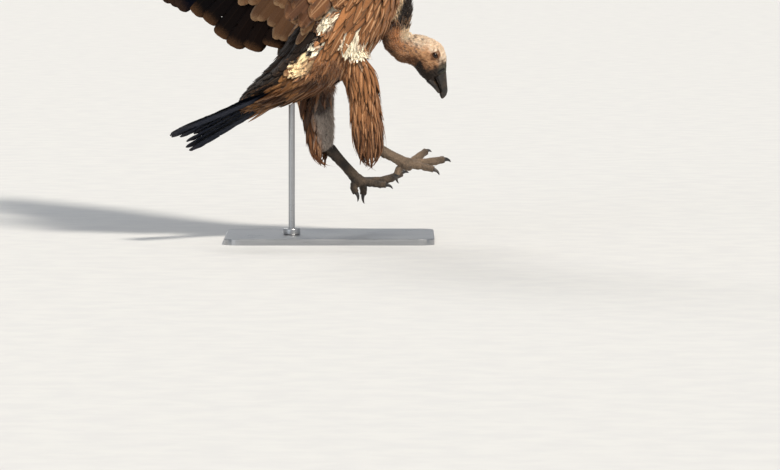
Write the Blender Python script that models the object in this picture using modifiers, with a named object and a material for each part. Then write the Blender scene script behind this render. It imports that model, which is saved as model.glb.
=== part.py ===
"""White-backed vulture coming in to land, a life-size still model on a display stand.

Metres, +Z up. The bird faces +X, turned a little towards +Y, banked with its right
side up. Every sub-part is one closed solid, and pieces meet with a small gap.
"""
import math

import bmesh
import bpy
import numpy as np

COLLECTION = "white_backed_vulture"
GAP = 0.0004            # clearance between pieces that meet
FEATHER_T = 0.0018      # thickness of a sheet of flight feathers
# attitude
HEADING = math.radians(25)      # turned from +X towards +Y
ROLL = math.radians(22)         # right side up
TRUNK_PITCH = math.radians(48)
# sizes
# what wear and moult take from or leave on each feather, the innermost first
TERTIAL_TRIM = (-0.037, -0.018, 0.000, 0.006, -0.003, -0.018, -0.022)
SECONDARY_TRIM = (-0.004, 0.006, 0.018, 0.028, 0.030, 0.030, 0.029, 0.028,
                  0.027, 0.025, 0.023, 0.021, 0.019, 0.018, 0.017, 0.016)
TAIL_TRIM = (1.0, 1.0, 1.0, 1.0, 1.0, 0.99, 0.97, 0.90, 0.79, 0.87, 0.90, 0.90)
TAIL_LENGTH = 0.252
TAIL_SPREAD = math.radians(17)  # half angle of the fan
TARSUS_R = 0.0092
EYE_R = 0.0085
# wing, measured along the span from the shoulder and back along the chord
ELBOW_S = 0.19
WRIST_S = 0.44
HAND_S = 0.60
HAND_REAR = 0.020
PRIMARIES = 10
SECONDARIES = 16
TERTIALS = 7
RECTRICES = 12
LEFT_RISE = math.radians(42)    # of the far wing above level
RIGHT_RISE = math.radians(80)
CHORD_PITCH = math.radians(47)
# stand
BASE_SIZE = (0.40, 0.34, 0.012)
ROD_R = 0.006
ROD_AT = (-0.073, -0.030)

SLOTS = {
    "down": ((0.72, 0.62, 0.48), 0.85, 0.0),
    "plumage_brown": ((0.24, 0.15, 0.09), 0.80, 0.0),
    "flight_black": ((0.02, 0.02, 0.025), 0.55, 0.0),
    "leg_skin": ((0.10, 0.085, 0.075), 0.60, 0.0),
    "horn_black": ((0.02, 0.02, 0.02), 0.35, 0.0),
    "eye_brown": ((0.03, 0.015, 0.01), 0.10, 0.0),
    "stand_steel": ((0.45, 0.46, 0.47), 0.35, 1.0),
}


def vec(*xyz):
    return np.array(xyz, float)


def unit(v):
    return v / np.linalg.norm(v)


LEVEL_AHEAD = vec(math.cos(HEADING), math.sin(HEADING), 0)
LEVEL_LEFT = vec(-math.sin(HEADING), math.cos(HEADING), 0)
UP = vec(0, 0, 1)
AHEAD = LEVEL_AHEAD * math.cos(TRUNK_PITCH) + UP * math.sin(TRUNK_PITCH)
BACK_UP = UP * math.cos(TRUNK_PITCH) - LEVEL_AHEAD * math.sin(TRUNK_PITCH)
LEFT = LEVEL_LEFT * math.cos(ROLL) - BACK_UP * math.sin(ROLL)
DORSAL = BACK_UP * math.cos(ROLL) + LEVEL_LEFT * math.sin(ROLL)

# spine of the trunk from the undertail to the breast: x, z, half depth, half width
SPINE = (
    (-0.176, 0.256, 0.012, 0.018),
    (-0.160, 0.265, 0.021, 0.030),
    (-0.131, 0.281, 0.033, 0.043),
    (-0.087, 0.304, 0.044, 0.057),
    (-0.038, 0.342, 0.063, 0.073),
    (0.000, 0.385, 0.076, 0.084),
    (0.038, 0.438, 0.083, 0.089),
    (0.068, 0.494, 0.079, 0.086),
    (0.088, 0.535, 0.062, 0.070),
    (0.099, 0.562, 0.034, 0.040),
)
SPINE_LEAN = 0.45       # y gained per metre of x


def collection(name):
    made = bpy.data.collections.new(name)
    bpy.context.scene.collection.children.link(made)
    return made


def material(slot):
    found = bpy.data.materials.get(slot)
    if found:
        return found
    colour, rough, metal = SLOTS[slot]
    made = bpy.data.materials.new(slot)
    made.use_nodes = True
    shader = made.node_tree.nodes["Principled BSDF"]
    shader.inputs["Base Color"].default_value = (*colour, 1)
    shader.inputs["Roughness"].default_value = rough
    shader.inputs["Metallic"].default_value = metal
    made.diffuse_color = (*colour, 1)
    return made


def build(name, points, faces, slot, smooth=True, where=None):
    """One mesh object from points and faces, its faces turned outward."""
    mesh = bpy.data.meshes.new(name)
    mesh.from_pydata([tuple(p) for p in points], [], faces)
    bm = bmesh.new()
    bm.from_mesh(mesh)
    bmesh.ops.remove_doubles(bm, verts=bm.verts, dist=1e-6)
    bmesh.ops.recalc_face_normals(bm, faces=bm.faces)
    for face in bm.faces:
        face.smooth = smooth
    bm.to_mesh(mesh)
    bm.free()
    thing = bpy.data.objects.new(name, mesh)
    mesh.materials.append(material(slot))
    (where or bpy.data.collections[COLLECTION]).objects.link(thing)
    return thing


def skin_rings(rings):
    """Points and faces of a closed loft through rings of the same count, flat ended."""
    n = len(rings[0])
    points = [p for ring in rings for p in ring]
    faces = []
    for i in range(len(rings) - 1):
        for j in range(n):
            k = (j + 1) % n
            faces.append((i * n + j, i * n + k, (i + 1) * n + k, (i + 1) * n + j))
    faces.append(tuple(range(n)))
    faces.append(tuple(range((len(rings) - 1) * n, len(rings) * n)))
    return points, faces


def oval(centre, along, side, half_side, half_up, n, power=2.0):
    """A ring of n points round centre, across along."""
    along = unit(along)
    side = unit(side - along * np.dot(side, along))
    up = np.cross(along, side)
    ring = []
    for j in range(n):
        a = 2 * math.pi * (j + 0.5) / n
        c, s = math.cos(a), math.sin(a)
        x = math.copysign(abs(c) ** (2 / power), c) * half_side
        y = math.copysign(abs(s) ** (2 / power), s) * half_up
        ring.append(centre + side * x + up * y)
    return ring


def tangents(centres):
    """Direction of a line of points at each of them."""
    out = []
    for i in range(len(centres)):
        a = centres[max(i - 1, 0)]
        b = centres[min(i + 1, len(centres) - 1)]
        out.append(unit(b - a))
    return out


def smooth_path(points, count):
    """count points on a Catmull-Rom curve through rows of numbers."""
    rows = np.array(points, float)
    n = len(rows) - 1
    out = []
    for t in np.linspace(0, n, count):
        i = min(int(t), n - 1)
        f = t - i
        a = rows[max(i - 1, 0)]
        b = rows[i]
        c = rows[i + 1]
        d = rows[min(i + 2, n)]
        out.append(0.5 * (2 * b + (c - a) * f + (2 * a - 5 * b + 4 * c - d) * f ** 2
                          + (3 * b - a - 3 * c + d) * f ** 3))
    return np.array(out)


def tube(name, rows, slot, side, count=8, sides=10):
    """A loft along rows of x, y, z, half width, half depth."""
    path = smooth_path(rows, count)
    centres = [r[:3] for r in path]
    ways = tangents(centres)
    rings = []
    for row, way in zip(path, ways):
        rings.append(oval(row[:3], way, side, row[3], row[4], sides))
    points, faces = skin_rings(rings)
    return build(name, points, faces, slot)


def boolean(thing, cutter, kind):
    """Cut or join with the exact solver, and apply."""
    step = thing.modifiers.new("step", "BOOLEAN")
    step.operation = kind
    step.solver = "EXACT"
    step.object = cutter
    graph = bpy.context.evaluated_depsgraph_get()
    graph.update()
    mesh = bpy.data.meshes.new_from_object(thing.evaluated_get(graph))
    thing.modifiers.clear()
    old = thing.data
    thing.data = mesh
    bpy.data.meshes.remove(old)
    mesh.name = thing.name
    bm = bmesh.new()
    bm.from_mesh(mesh)
    bmesh.ops.remove_doubles(bm, verts=bm.verts, dist=2e-6)
    bmesh.ops.dissolve_degenerate(bm, edges=bm.edges, dist=2e-6)
    keep_largest(bm)
    bm.to_mesh(mesh)
    bm.free()


def keep_largest(bm):
    """Drop all but the largest connected piece."""
    left = set(bm.verts)
    pieces = []
    while left:
        todo = [left.pop()]
        piece = set(todo)
        while todo:
            for edge in todo.pop().link_edges:
                for other in edge.verts:
                    if other in left:
                        left.discard(other)
                        piece.add(other)
                        todo.append(other)
        pieces.append(piece)
    pieces.sort(key=len, reverse=True)
    spare = [v for piece in pieces[1:] for v in piece]
    bmesh.ops.delete(bm, geom=spare, context="VERTS")


def cutter_of(thing, grow, where):
    """A copy of a solid pushed out by grow along its normals."""
    made = thing.copy()
    made.data = thing.data.copy()
    made.name = "cut_" + thing.name
    where.objects.link(made)
    made.hide_render = True
    made.display_type = "WIRE"
    bm = bmesh.new()
    bm.from_mesh(made.data)
    bm.normal_update()
    moves = [(v, v.normal * grow) for v in bm.verts]
    for v, move in moves:
        v.co += move
    bm.to_mesh(made.data)
    bm.free()
    return made


# trunk ---------------------------------------------------------------------------

def spine_point(x, z):
    return vec(x, SPINE_LEAN * x, z)


def make_trunk():
    rows = smooth_path(SPINE, 16)
    centres = [spine_point(r[0], r[1]) for r in rows]
    rings = []
    for row, centre, way in zip(rows, centres, tangents(centres)):
        rings.append(oval(centre, way, LEFT, row[3], row[2], 20, 2.15))
    points, faces = skin_rings(rings)
    return build("trunk", points, faces, "plumage_brown")


# wings ---------------------------------------------------------------------------

def wing_frame(side):
    """Origin, span, chord and upper normal of a wing; side is 1 left, -1 right."""
    rise = LEFT_RISE if side > 0 else RIGHT_RISE
    span = side * LEVEL_LEFT * math.cos(rise) + UP * math.sin(rise)
    back = -(LEVEL_AHEAD * math.cos(CHORD_PITCH) + UP * math.sin(CHORD_PITCH))
    chord = unit(back - span * np.dot(back, span))
    normal = np.cross(span, chord) * side
    root = spine_point(0.068, 0.494) + LEFT * side * 0.060 + DORSAL * 0.020
    return root, span, chord, normal


def wing_point(frame, side, s, c, n=0.0):
    """A point of the wing: s out, c back and n above its arched middle surface."""
    root, span, chord, normal = frame
    arch = 0.16 * s - 0.26 * s * s - 0.22 * max(c, 0) ** 2
    return root + span * s + chord * c + normal * (arch + n)


def line_at(pairs, s):
    xs = [p[0] for p in pairs]
    ys = [p[1] for p in pairs]
    return float(np.interp(s, xs, ys))


LEAD = ((-0.05, 0.0), (0.0, -0.018), (0.2, -0.034), (WRIST_S, -0.058),
        (0.5, -0.050), (HAND_S, -0.016))
REAR = ((-0.05, 0.090), (0.0, 0.100), (ELBOW_S, 0.130), (WRIST_S, HAND_REAR),
        (HAND_S, HAND_REAR))
THICK = ((-0.05, 0.030), (0.0, 0.030), (ELBOW_S, 0.022), (WRIST_S, 0.012),
         (HAND_S, 0.005))
PROFILE = ((0.0, 0.0), (0.06, 0.62), (0.22, 1.0), (0.45, 0.80), (0.75, 0.42))


def arm_piece(name, side, s0, s1, count):
    """A closed length of the wing's leading part, between two stations."""
    frame = wing_frame(side)
    rings = []
    for s in np.linspace(s0, s1, count):
        lead = line_at(LEAD, s)
        rear = line_at(REAR, s)
        half = line_at(THICK, s)
        ring = []
        for u, h in PROFILE:
            ring.append((lead + (rear - lead) * u, half * h))
        ring.append((rear, 0.0030))
        ring.append((rear, -0.0030))
        for u, h in reversed(PROFILE[1:]):
            ring.append((lead + (rear - lead) * u, -half * h * 0.75))
        rings.append([wing_point(frame, side, s, c, n) for c, n in ring])
    points, faces = skin_rings(rings)
    return build(name, points, faces, "plumage_brown")


def vane_sheet(feathers, joined, stations, place, slim, first=None, last=None):
    """Points and faces of one sheet of joined vanes with free tips.

    feathers holds the base, way, length and lift of each, and joined the station up to
    which each border is webbed. place maps s, c and a lift to a point.
    """
    n = len(feathers)
    points = []
    faces = []

    def middle(i, t):
        base, way, length, lift = feathers[i]
        return base + way * length * t, lift * t * t

    def edge_of(i, sign, t, line):
        mid, lift = middle(i, t)
        if line is not None:
            start, way = line
            return start + way * feathers[i][2] * t, lift
        near = middle(1 if i == 0 else n - 2, t)[0]
        way = feathers[i][1]
        across = np.array((-way[1], way[0])) * sign
        if np.dot(across, near - mid) > 0:
            across = -across
        return mid + across * np.linalg.norm(near - mid) / 2, lift

    def border(k, t):
        if k == 0:
            return edge_of(0, 1, t, first)
        if k == n:
            return edge_of(n - 1, 1, t, last)
        a, la = middle(k - 1, t)
        b, lb = middle(k, t)
        return (a + b) / 2, (la + lb) / 2

    def add(at, lift):
        points.append(place(at[0], at[1], lift))
        return len(points) - 1

    shared = []
    for k in range(n + 1):
        shared.append([add(*border(k, t)) for t in stations[:joined[k] + 1]])
    for i in range(n):
        sides = []
        for k in (i, i + 1):
            row = list(shared[k])
            split = stations[joined[k]]
            offset = border(k, split)[0] - middle(i, split)[0]
            for t in stations[joined[k] + 1:-1]:
                f = (t - split) / (1 - split)
                keep = (1 - (1 - slim) * min(1, f * 2.2)) * math.sqrt(1 - f ** 3.2)
                at, lift = middle(i, t)
                row.append(add(at + offset * keep, lift))
            sides.append(row)
        left, right = sides
        for j in range(len(left) - 1):
            faces.append((left[j], right[j], right[j + 1], left[j + 1]))
        faces.append((left[-1], right[-1], add(*middle(i, 1.0))))
    return points, faces


def thicken(name, points, faces, slot):
    """Give a sheet its thickness with a Solidify step and apply it."""
    thing = build(name, points, faces, slot, smooth=False)
    step = thing.modifiers.new("thick", "SOLIDIFY")
    step.thickness = FEATHER_T
    step.offset = 0
    graph = bpy.context.evaluated_depsgraph_get()
    graph.update()
    mesh = bpy.data.meshes.new_from_object(thing.evaluated_get(graph))
    thing.modifiers.clear()
    old = thing.data
    thing.data = mesh
    bpy.data.meshes.remove(old)
    mesh.name = name
    return thing


def heading2(angle):
    return np.array((math.cos(angle), math.sin(angle)))


def primary_rows():
    """Base, way, length and lift of each primary, the innermost first."""
    rows = []
    for i in range(PRIMARIES):
        f = i / (PRIMARIES - 1)
        if i < 8:
            base = np.array((WRIST_S + (HAND_S - WRIST_S) * (i + 0.5) / 8, HAND_REAR + GAP))
        else:
            base = np.array((HAND_S + GAP, HAND_REAR - 0.036 * (i - 7.5) / 2))
        angle = math.radians(76 - 66 * f ** 0.92)
        length = 0.325 + 0.135 * math.sin(math.pi * min(1, f * 1.02) ** 1.5 * 0.72)
        rows.append((base, heading2(angle), length, 0.055 + 0.03 * f))
    return rows


def secondary_rows():
    """Base, way, length and lift of each secondary, the innermost first."""
    rows = []
    for i in range(SECONDARIES):
        f = (i + 0.5) / SECONDARIES
        s = ELBOW_S + (WRIST_S - ELBOW_S) * f
        base = np.array((s, line_at(REAR, s) + GAP))
        angle = math.radians(100 - 22 * f)
        length = 0.212 + 0.095 * f + SECONDARY_TRIM[i]
        rows.append((base, heading2(angle), length, 0.004))
    return rows


def tertial_rows():
    """Base, way, length and lift of each tertial, the innermost first."""
    rows = []
    for i in range(TERTIALS):
        f = (i + 0.5) / TERTIALS
        s = 0.015 + (ELBOW_S - 0.015) * f
        base = np.array((s, line_at(REAR, s) + GAP))
        angle = math.radians(146 - 45 * f ** 0.8)
        rows.append((base, heading2(angle), 0.122 + 0.095 * f + TERTIAL_TRIM[i], 0.0))
    return rows


def make_wing(side, trunk_cut):
    """The six pieces of a wing."""
    word = "left" if side > 0 else "right"
    frame = wing_frame(side)
    half = GAP / 2

    def place(s, c, lift):
        return wing_point(frame, side, s, c, lift)

    upper = arm_piece(f"wing_{word}_upper_arm", side, -0.05, ELBOW_S - half, 7)
    boolean(upper, trunk_cut, "DIFFERENCE")
    arm_piece(f"wing_{word}_forearm", side, ELBOW_S + half, WRIST_S - half, 8)
    hand = arm_piece(f"wing_{word}_hand", side, WRIST_S + half, HAND_S, 6)
    hand_cut = cutter_of(hand, GAP, bpy.data.collections["cutters"])
    elbow = np.array((ELBOW_S, line_at(REAR, ELBOW_S) + GAP))
    wrist = np.array((WRIST_S, HAND_REAR + GAP))
    aside = np.array((half, 0))
    inner = (elbow - aside, heading2(math.radians(100.6)))
    outer = (elbow + aside, heading2(math.radians(100.4)))
    wrist_in = (wrist - aside, heading2(math.radians(77.2)))
    wrist_out = (wrist + aside, heading2(math.radians(77.0)))
    stations = (0, 0.3, 0.52, 0.66, 0.78, 0.88, 0.95, 1)
    webs = [5, 5, 5, 5, 4, 4, 3, 3, 2, 2, 2]
    points, faces = vane_sheet(primary_rows(), webs, stations, place, 0.66, wrist_out)
    fan = thicken(f"wing_{word}_primaries", points, faces, "flight_black")
    boolean(fan, hand_cut, "DIFFERENCE")
    stations = (0, 0.33, 0.66, 0.92, 0.97, 1)
    webs = [3] * (SECONDARIES + 1)
    points, faces = vane_sheet(secondary_rows(), webs, stations, place, 0.95, outer, wrist_in)
    thicken(f"wing_{word}_secondaries", points, faces, "flight_black")
    webs = [3] * (TERTIALS + 1)
    points, faces = vane_sheet(tertial_rows(), webs, stations, place, 0.95, None, inner)
    sheet = thicken(f"wing_{word}_tertials", points, faces, "plumage_brown")
    boolean(sheet, trunk_cut, "DIFFERENCE")
    boolean(sheet, cutter_of(upper, GAP, bpy.data.collections["cutters"]), "DIFFERENCE")


# tail ----------------------------------------------------------------------------

TAIL_ROOT = (-0.092, 0.306)
TAIL_DROP = math.radians(26.5)
TAIL_ROLL = math.radians(8)    # of the tail beyond the trunk


def tail_frame():
    """Origin, way back, way left and upper normal of the tail."""
    yaw = HEADING * 0.9
    back = -vec(math.cos(yaw) * math.cos(TAIL_DROP), math.sin(yaw) * math.cos(TAIL_DROP),
                math.sin(TAIL_DROP))
    left = unit(LEFT - back * np.dot(LEFT, back))
    normal = np.cross(left, back)
    left = left * math.cos(TAIL_ROLL) - normal * math.sin(TAIL_ROLL)
    normal = np.cross(left, back)
    return spine_point(*TAIL_ROOT), back, left, normal


def rectrix_rows():
    """Base, way, length and lift of each tail feather, the rightmost first."""
    rows = []
    for i in range(RECTRICES):
        f = 2 * i / (RECTRICES - 1) - 1
        angle = f * TAIL_SPREAD
        base = np.array((0.018 * f, 0.0))
        way = np.array((math.sin(angle), math.cos(angle)))
        length = TAIL_LENGTH * (1 - 0.05 * f * f) * TAIL_TRIM[i]
        rows.append((base, way, length, -0.012 * f * f))
    return rows


def make_tail(trunk_cut):
    root, back, left, normal = tail_frame()

    def place(a, b, lift):
        return root + left * a + back * b + normal * (lift + 0.2 * b * b - 0.6 * a * a)

    stations = (0, 0.3, 0.6, 0.86, 0.95, 1)
    webs = [3] * (RECTRICES + 1)
    points, faces = vane_sheet(rectrix_rows(), webs, stations, place, 0.92)
    tail = thicken("tail", points, faces, "flight_black")
    boolean(tail, trunk_cut, "DIFFERENCE")


# neck and head -------------------------------------------------------------------

HEAD_Y = 0.066


def make_neck(trunk_cut):
    """The ruff round the base of the neck, and the bare neck beyond it."""
    ruff = (
        (0.085, 0.038, 0.520, 0.040, 0.040),
        (0.118, 0.052, 0.478, 0.041, 0.038),
        (0.127, 0.060, 0.440, 0.038, 0.034),
        (0.127, 0.063, 0.412, 0.031, 0.029),
    )
    path = smooth_path(ruff, 7)
    ways = tangents([r[:3] for r in path])
    ways[-1] = -UP
    rings = []
    for row, way in zip(path, ways):
        rings.append(oval(row[:3], way, vec(0, 1, 0), row[3], row[4], 18))
    points, faces = skin_rings(rings)
    made = build("neck_ruff", points, faces, "down")
    boolean(made, trunk_cut, "DIFFERENCE")
    neck = (
        (0.1270, 0.063, 0.412 - GAP, 0.0290, 0.0270),
        (0.1268, 0.064, 0.398, 0.0270, 0.0262),
        (0.1300, 0.065, 0.382, 0.0258, 0.0262),
        (0.1400, HEAD_Y, 0.371, 0.0258, 0.0280),
    )
    rings = []
    ways = [-UP, unit(vec(0.1, 0, -1)), unit(vec(0.5, 0, -0.85)), unit(vec(1, 0, -0.3))]
    for row, way in zip(neck, ways):
        rings.append(oval(vec(*row[:3]), way, vec(0, 1, 0), row[3], row[4], 18))
    last = skull_ring(SKULL[0], 18)
    drop = math.radians(SKULL[0][2])
    shift = vec(math.cos(drop), 0, -math.sin(drop)) * GAP
    rings.append([p - shift for p in last])
    points, faces = skin_rings(rings)
    made = build("neck", points, faces, "down")
    boolean(made, trunk_cut, "DIFFERENCE")


# sections of the head: x, z, drop of the axis, half width, half depth
SKULL = (
    (0.1530, 0.3678, 6, 0.0265, 0.0300),
    (0.1660, 0.3655, 20, 0.0285, 0.0325),
    (0.1840, 0.3575, 42, 0.0280, 0.0350),
    (0.1961, 0.3385, 56, 0.0235, 0.0328),
    (0.2013, 0.3226, 62, 0.0180, 0.0264),
    (0.2050, 0.3123, 64, 0.0150, 0.0217),
)
EYE_AT = (0.2015, 0.3530)


def skull_ring(row, n):
    x, z, drop, wide, deep = row
    a = math.radians(drop)
    along = vec(math.cos(a), 0, -math.sin(a))
    return oval(vec(x, HEAD_Y, z), along, vec(0, 1, 0), wide, deep, n)


def make_head(cutters):
    rows = smooth_path(SKULL, 10)
    points, faces = skin_rings([skull_ring(r, 18) for r in rows])
    head = build("head", points, faces, "down")
    for side, word in ((1, "left"), (-1, "right")):
        at = vec(EYE_AT[0], HEAD_Y + side * 0.0185, EYE_AT[1])
        sphere(f"eye_{word}", at, EYE_R, "eye_brown", 12, 8)
        cut = sphere(f"cut_eye_{word}", at, EYE_R + GAP, "eye_brown", 14, 9, cutters)
        boolean(head, cut, "DIFFERENCE")


def sphere(name, at, radius, slot, around, up, where=None):
    bpy.ops.mesh.primitive_uv_sphere_add(segments=around, ring_count=up, radius=radius,
                                         location=tuple(at))
    thing = bpy.context.object
    thing.name = name
    thing.data.name = name
    bpy.ops.object.transform_apply(location=True, rotation=True, scale=True)
    bpy.ops.object.shade_smooth()
    thing.data.materials.clear()
    thing.data.materials.append(material(slot))
    for old in list(thing.users_collection):
        old.objects.unlink(thing)
    (where or bpy.data.collections[COLLECTION]).objects.link(thing)
    if where:
        thing.hide_render = True
        thing.display_type = "WIRE"
    return thing


# sections of the bill from its root to its tip: x, z, drop, half width, top, gape, chin
BILL = (
    (0.2065, 0.3130, 64, 0.0145, 0.0190, -0.0065, -0.0231),
    (0.2105, 0.3030, 68, 0.0122, 0.0152, -0.0056, -0.0175),
    (0.2140, 0.2930, 72, 0.0098, 0.0122, -0.0046, -0.0128),
    (0.2165, 0.2840, 76, 0.0076, 0.0104, -0.0036, -0.0092),
)


def bill_ring(row, low, high, shift, n=10):
    """A ring of the bill between two heights, moved on along its axis by shift."""
    x, z, drop, wide = row[:4]
    a = math.radians(drop)
    along = vec(math.cos(a), 0, -math.sin(a))
    up = vec(math.sin(a), 0, math.cos(a))
    centre = vec(x, HEAD_Y, z) + up * (low + high) / 2 + along * shift
    ring = []
    for j in range(n):
        b = 2 * math.pi * (j + 0.5) / n
        c, s = math.cos(b), math.sin(b)
        y = math.copysign(abs(c) ** 0.85, c) * wide * (1 - 0.22 * s)
        h = math.copysign(abs(s) ** 0.8, s) * (high - low) / 2
        ring.append(centre + vec(0, 1, 0) * y + up * h)
    return ring


def make_bill():
    upper = []
    lower = []
    for row in smooth_path(BILL, 6):
        upper.append(bill_ring(row, row[5] + GAP / 2, row[4], GAP))
        lower.append(bill_ring((*row[:3], row[3] * 0.86), row[6], row[5] - GAP / 2, GAP))
    lower.append(bill_ring((0.2165, 0.2840, 76, 0.0040), -0.0080, -0.0056, 0.0014))
    for step in (1, 2, 3, 4):
        f = step / 4
        x = 0.2165 + 0.0030 * math.sin(f * 1.5) - 0.0030 * f * f
        z = 0.2840 - 0.0140 * f
        row = (x, z, 76 + 26 * f, 0.0076 * (1 - f) ** 0.6 + 0.0012)
        high = 0.0094 * (1 - f) ** 0.8 + 0.0010
        upper.append(bill_ring(row, -0.0070 + 0.0048 * f ** 3, high, GAP))
    points, faces = skin_rings(upper)
    build("bill_upper", points, faces, "horn_black")
    points, faces = skin_rings(lower)
    build("bill_lower", points, faces, "horn_black")


# legs ----------------------------------------------------------------------------

KNEE = {"left": (-0.036, 0.040, 0.318), "right": (0.052, -0.034, 0.335)}
ANKLE = {"left": (-0.004, 0.052, 0.176), "right": (0.088, -0.040, 0.179)}
TOE_ROOT = {"left": (0.054, 0.076, 0.110), "right": (0.150, -0.030, 0.147)}


def make_thigh(word, trunk_cut):
    """The feathered leg down to the ankle, with its hanging trousers."""
    knee = vec(*KNEE[word])
    ankle = vec(*ANKLE[word])
    back = -LEVEL_AHEAD
    if word == "left":
        shape = ((-0.24, 0.0, 0.012, 0.014), (-0.14, 0.0, 0.027, 0.033),
                 (0.02, 0.0, 0.034, 0.042), (0.30, 0.004, 0.030, 0.040),
                 (0.62, 0.008, 0.023, 0.033), (0.86, 0.012, 0.017, 0.026),
                 (1.02, 0.012, 0.012, 0.018))
    else:
        shape = ((-0.26, 0.006, 0.011, 0.012), (-0.17, 0.004, 0.024, 0.026),
                 (0.02, 0.0, 0.033, 0.036), (0.30, -0.001, 0.029, 0.033),
                 (0.62, 0.006, 0.024, 0.034), (0.88, 0.009, 0.019, 0.028),
                 (1.02, 0.008, 0.013, 0.018))
    rows = []
    for f, shift, wide, deep in shape:
        at = knee + (ankle - knee) * f + back * shift
        rows.append((*at, wide, deep))
    made = tube(f"thigh_{word}", rows, "plumage_brown", LEVEL_LEFT, 12, 14)
    boolean(made, trunk_cut, "DIFFERENCE")
    return made


def make_tarsus(word, thigh_cut):
    ankle = vec(*ANKLE[word])
    root = vec(*TOE_ROOT[word])
    way = unit(root - ankle)
    rows = []
    for f, r in ((-0.06, 0.90), (0.05, 1.12), (0.3, 0.92), (0.6, 0.86), (0.88, 1.0)):
        at = ankle + (root - ankle) * f
        rows.append((*at, TARSUS_R * r * 0.92, TARSUS_R * r))
    made = tube(f"tarsus_{word}", rows, "leg_skin", LEVEL_LEFT, 8, 10)
    boolean(made, thigh_cut, "DIFFERENCE")
    return way


# each toe: name, sideways turn in degrees, length, radius, first pitch, curl
TOES = {
    "left": (
        ("1", 176, 0.024, 0.0064, -54, -74),
        ("2", 30, 0.032, 0.0064, -34, -70),
        ("3", -6, 0.086, 0.0068, -6, 34),
        ("4", -34, 0.050, 0.0058, -14, 12),
    ),
    "right": (
        ("1", 150, 0.026, 0.0062, -24, -50),
        ("2", 26, 0.054, 0.0064, 24, 0),
        ("3", -6, 0.068, 0.0070, 4, 6),
        ("4", -36, 0.046, 0.0058, -8, -8),
    ),
}


def toe_path(word, toe):
    """Centres along a toe from the foot's middle, and the way its end points."""
    _, turn, length, radius, pitch, curl = toe
    root = vec(*TOE_ROOT[word])
    yaw = HEADING + math.radians(turn)
    flat = vec(math.cos(yaw), math.sin(yaw), 0)
    at = root + flat * 0.004
    rows = [at]
    steps = 8
    for i in range(steps):
        a = math.radians(pitch + curl * (i / (steps - 1)) ** 1.3)
        way = flat * math.cos(a) + UP * math.sin(a)
        at = at + way * length / steps
        rows.append(at)
    return rows, unit(rows[-1] - rows[-2])


def make_foot(word, way, tarsus_cut):
    """The palm and four toes in one piece, and a claw on each toe."""
    root = vec(*TOE_ROOT[word])
    start = root - way * 0.0095
    rows = ((*start, 0.0100, 0.0095), (*root, 0.0125, 0.0115),
            (*(root + way * 0.0085), 0.0085, 0.0075))
    foot = tube(f"foot_{word}", rows, "leg_skin", LEVEL_LEFT, 5, 10)
    spare = bpy.data.collections["cutters"]
    for toe in TOES[word]:
        path, end = toe_path(word, toe)
        side = np.cross(end, unit(vec(math.sin(HEADING), -math.cos(HEADING), 0.2)))
        rings = []
        for i, (at, go) in enumerate(zip(path, tangents(path))):
            f = i / (len(path) - 1)
            r = toe[3] * (1.08 - 0.30 * f + 0.07 * math.cos(f * 6 * math.pi))
            rings.append(oval(at, go, side, r, r * 0.96, 8))
        points, faces = skin_rings(rings)
        piece = build(f"cut_toe_{word}_{toe[0]}", points, faces, "leg_skin", where=spare)
        piece.hide_render = True
        piece.display_type = "WIRE"
        boolean(foot, piece, "UNION")
        make_claw(word, toe, path[-1], end)
    boolean(foot, tarsus_cut, "DIFFERENCE")


def make_claw(word, toe, at, way):
    """A curved claw from the end of a toe."""
    length = 0.020 if toe[0] in "12" else 0.017
    flat = vec(way[0], way[1], 0)
    if np.linalg.norm(flat) < 0.05:
        flat = LEVEL_AHEAD
    side = unit(np.cross(unit(flat), UP))
    down = np.cross(side, way)
    if down[2] > 0:
        down = -down
    rings = []
    centre = at + way * GAP
    angle = 0.0
    steps = 5
    for i in range(steps + 1):
        f = i / steps
        go = way * math.cos(angle) + down * math.sin(angle)
        r = toe[3] * 0.66 * (1 - f) ** 0.8 + 0.0006
        rings.append(oval(centre, go, side, r * 0.85, r, 7))
        centre = centre + go * length / steps
        angle += 0.24
    points, faces = skin_rings(rings)
    build(f"claw_{word}_{toe[0]}", points, faces, "horn_black")


# stand ---------------------------------------------------------------------------

def make_stand(trunk_cut):
    bpy.ops.mesh.primitive_cube_add(size=1, location=(0, 0, BASE_SIZE[2] / 2))
    base = bpy.context.object
    base.name = "stand_base"
    base.data.name = "stand_base"
    base.scale = BASE_SIZE
    bpy.ops.object.transform_apply(location=True, rotation=True, scale=True)
    bm = bmesh.new()
    bm.from_mesh(base.data)
    corners = [e for e in bm.edges if abs(e.verts[0].co.z - e.verts[1].co.z) > 0.001]
    bmesh.ops.bevel(bm, geom=corners, offset=0.03, segments=6, profile=0.5,
                    affect="EDGES")
    bm.to_mesh(base.data)
    bm.free()
    low = BASE_SIZE[2] + GAP
    bpy.ops.mesh.primitive_cylinder_add(vertices=24, radius=ROD_R, depth=0.30 - low,
                                        location=(*ROD_AT, (0.30 + low) / 2))
    rod = bpy.context.object
    rod.name = "stand_rod"
    rod.data.name = "stand_rod"
    bpy.ops.object.transform_apply(location=True, rotation=True, scale=True)
    for thing in (base, rod):
        thing.data.materials.clear()
        thing.data.materials.append(material("stand_steel"))
        for old in list(thing.users_collection):
            old.objects.unlink(thing)
        bpy.data.collections[COLLECTION].objects.link(thing)
    boolean(rod, trunk_cut, "DIFFERENCE")


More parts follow.
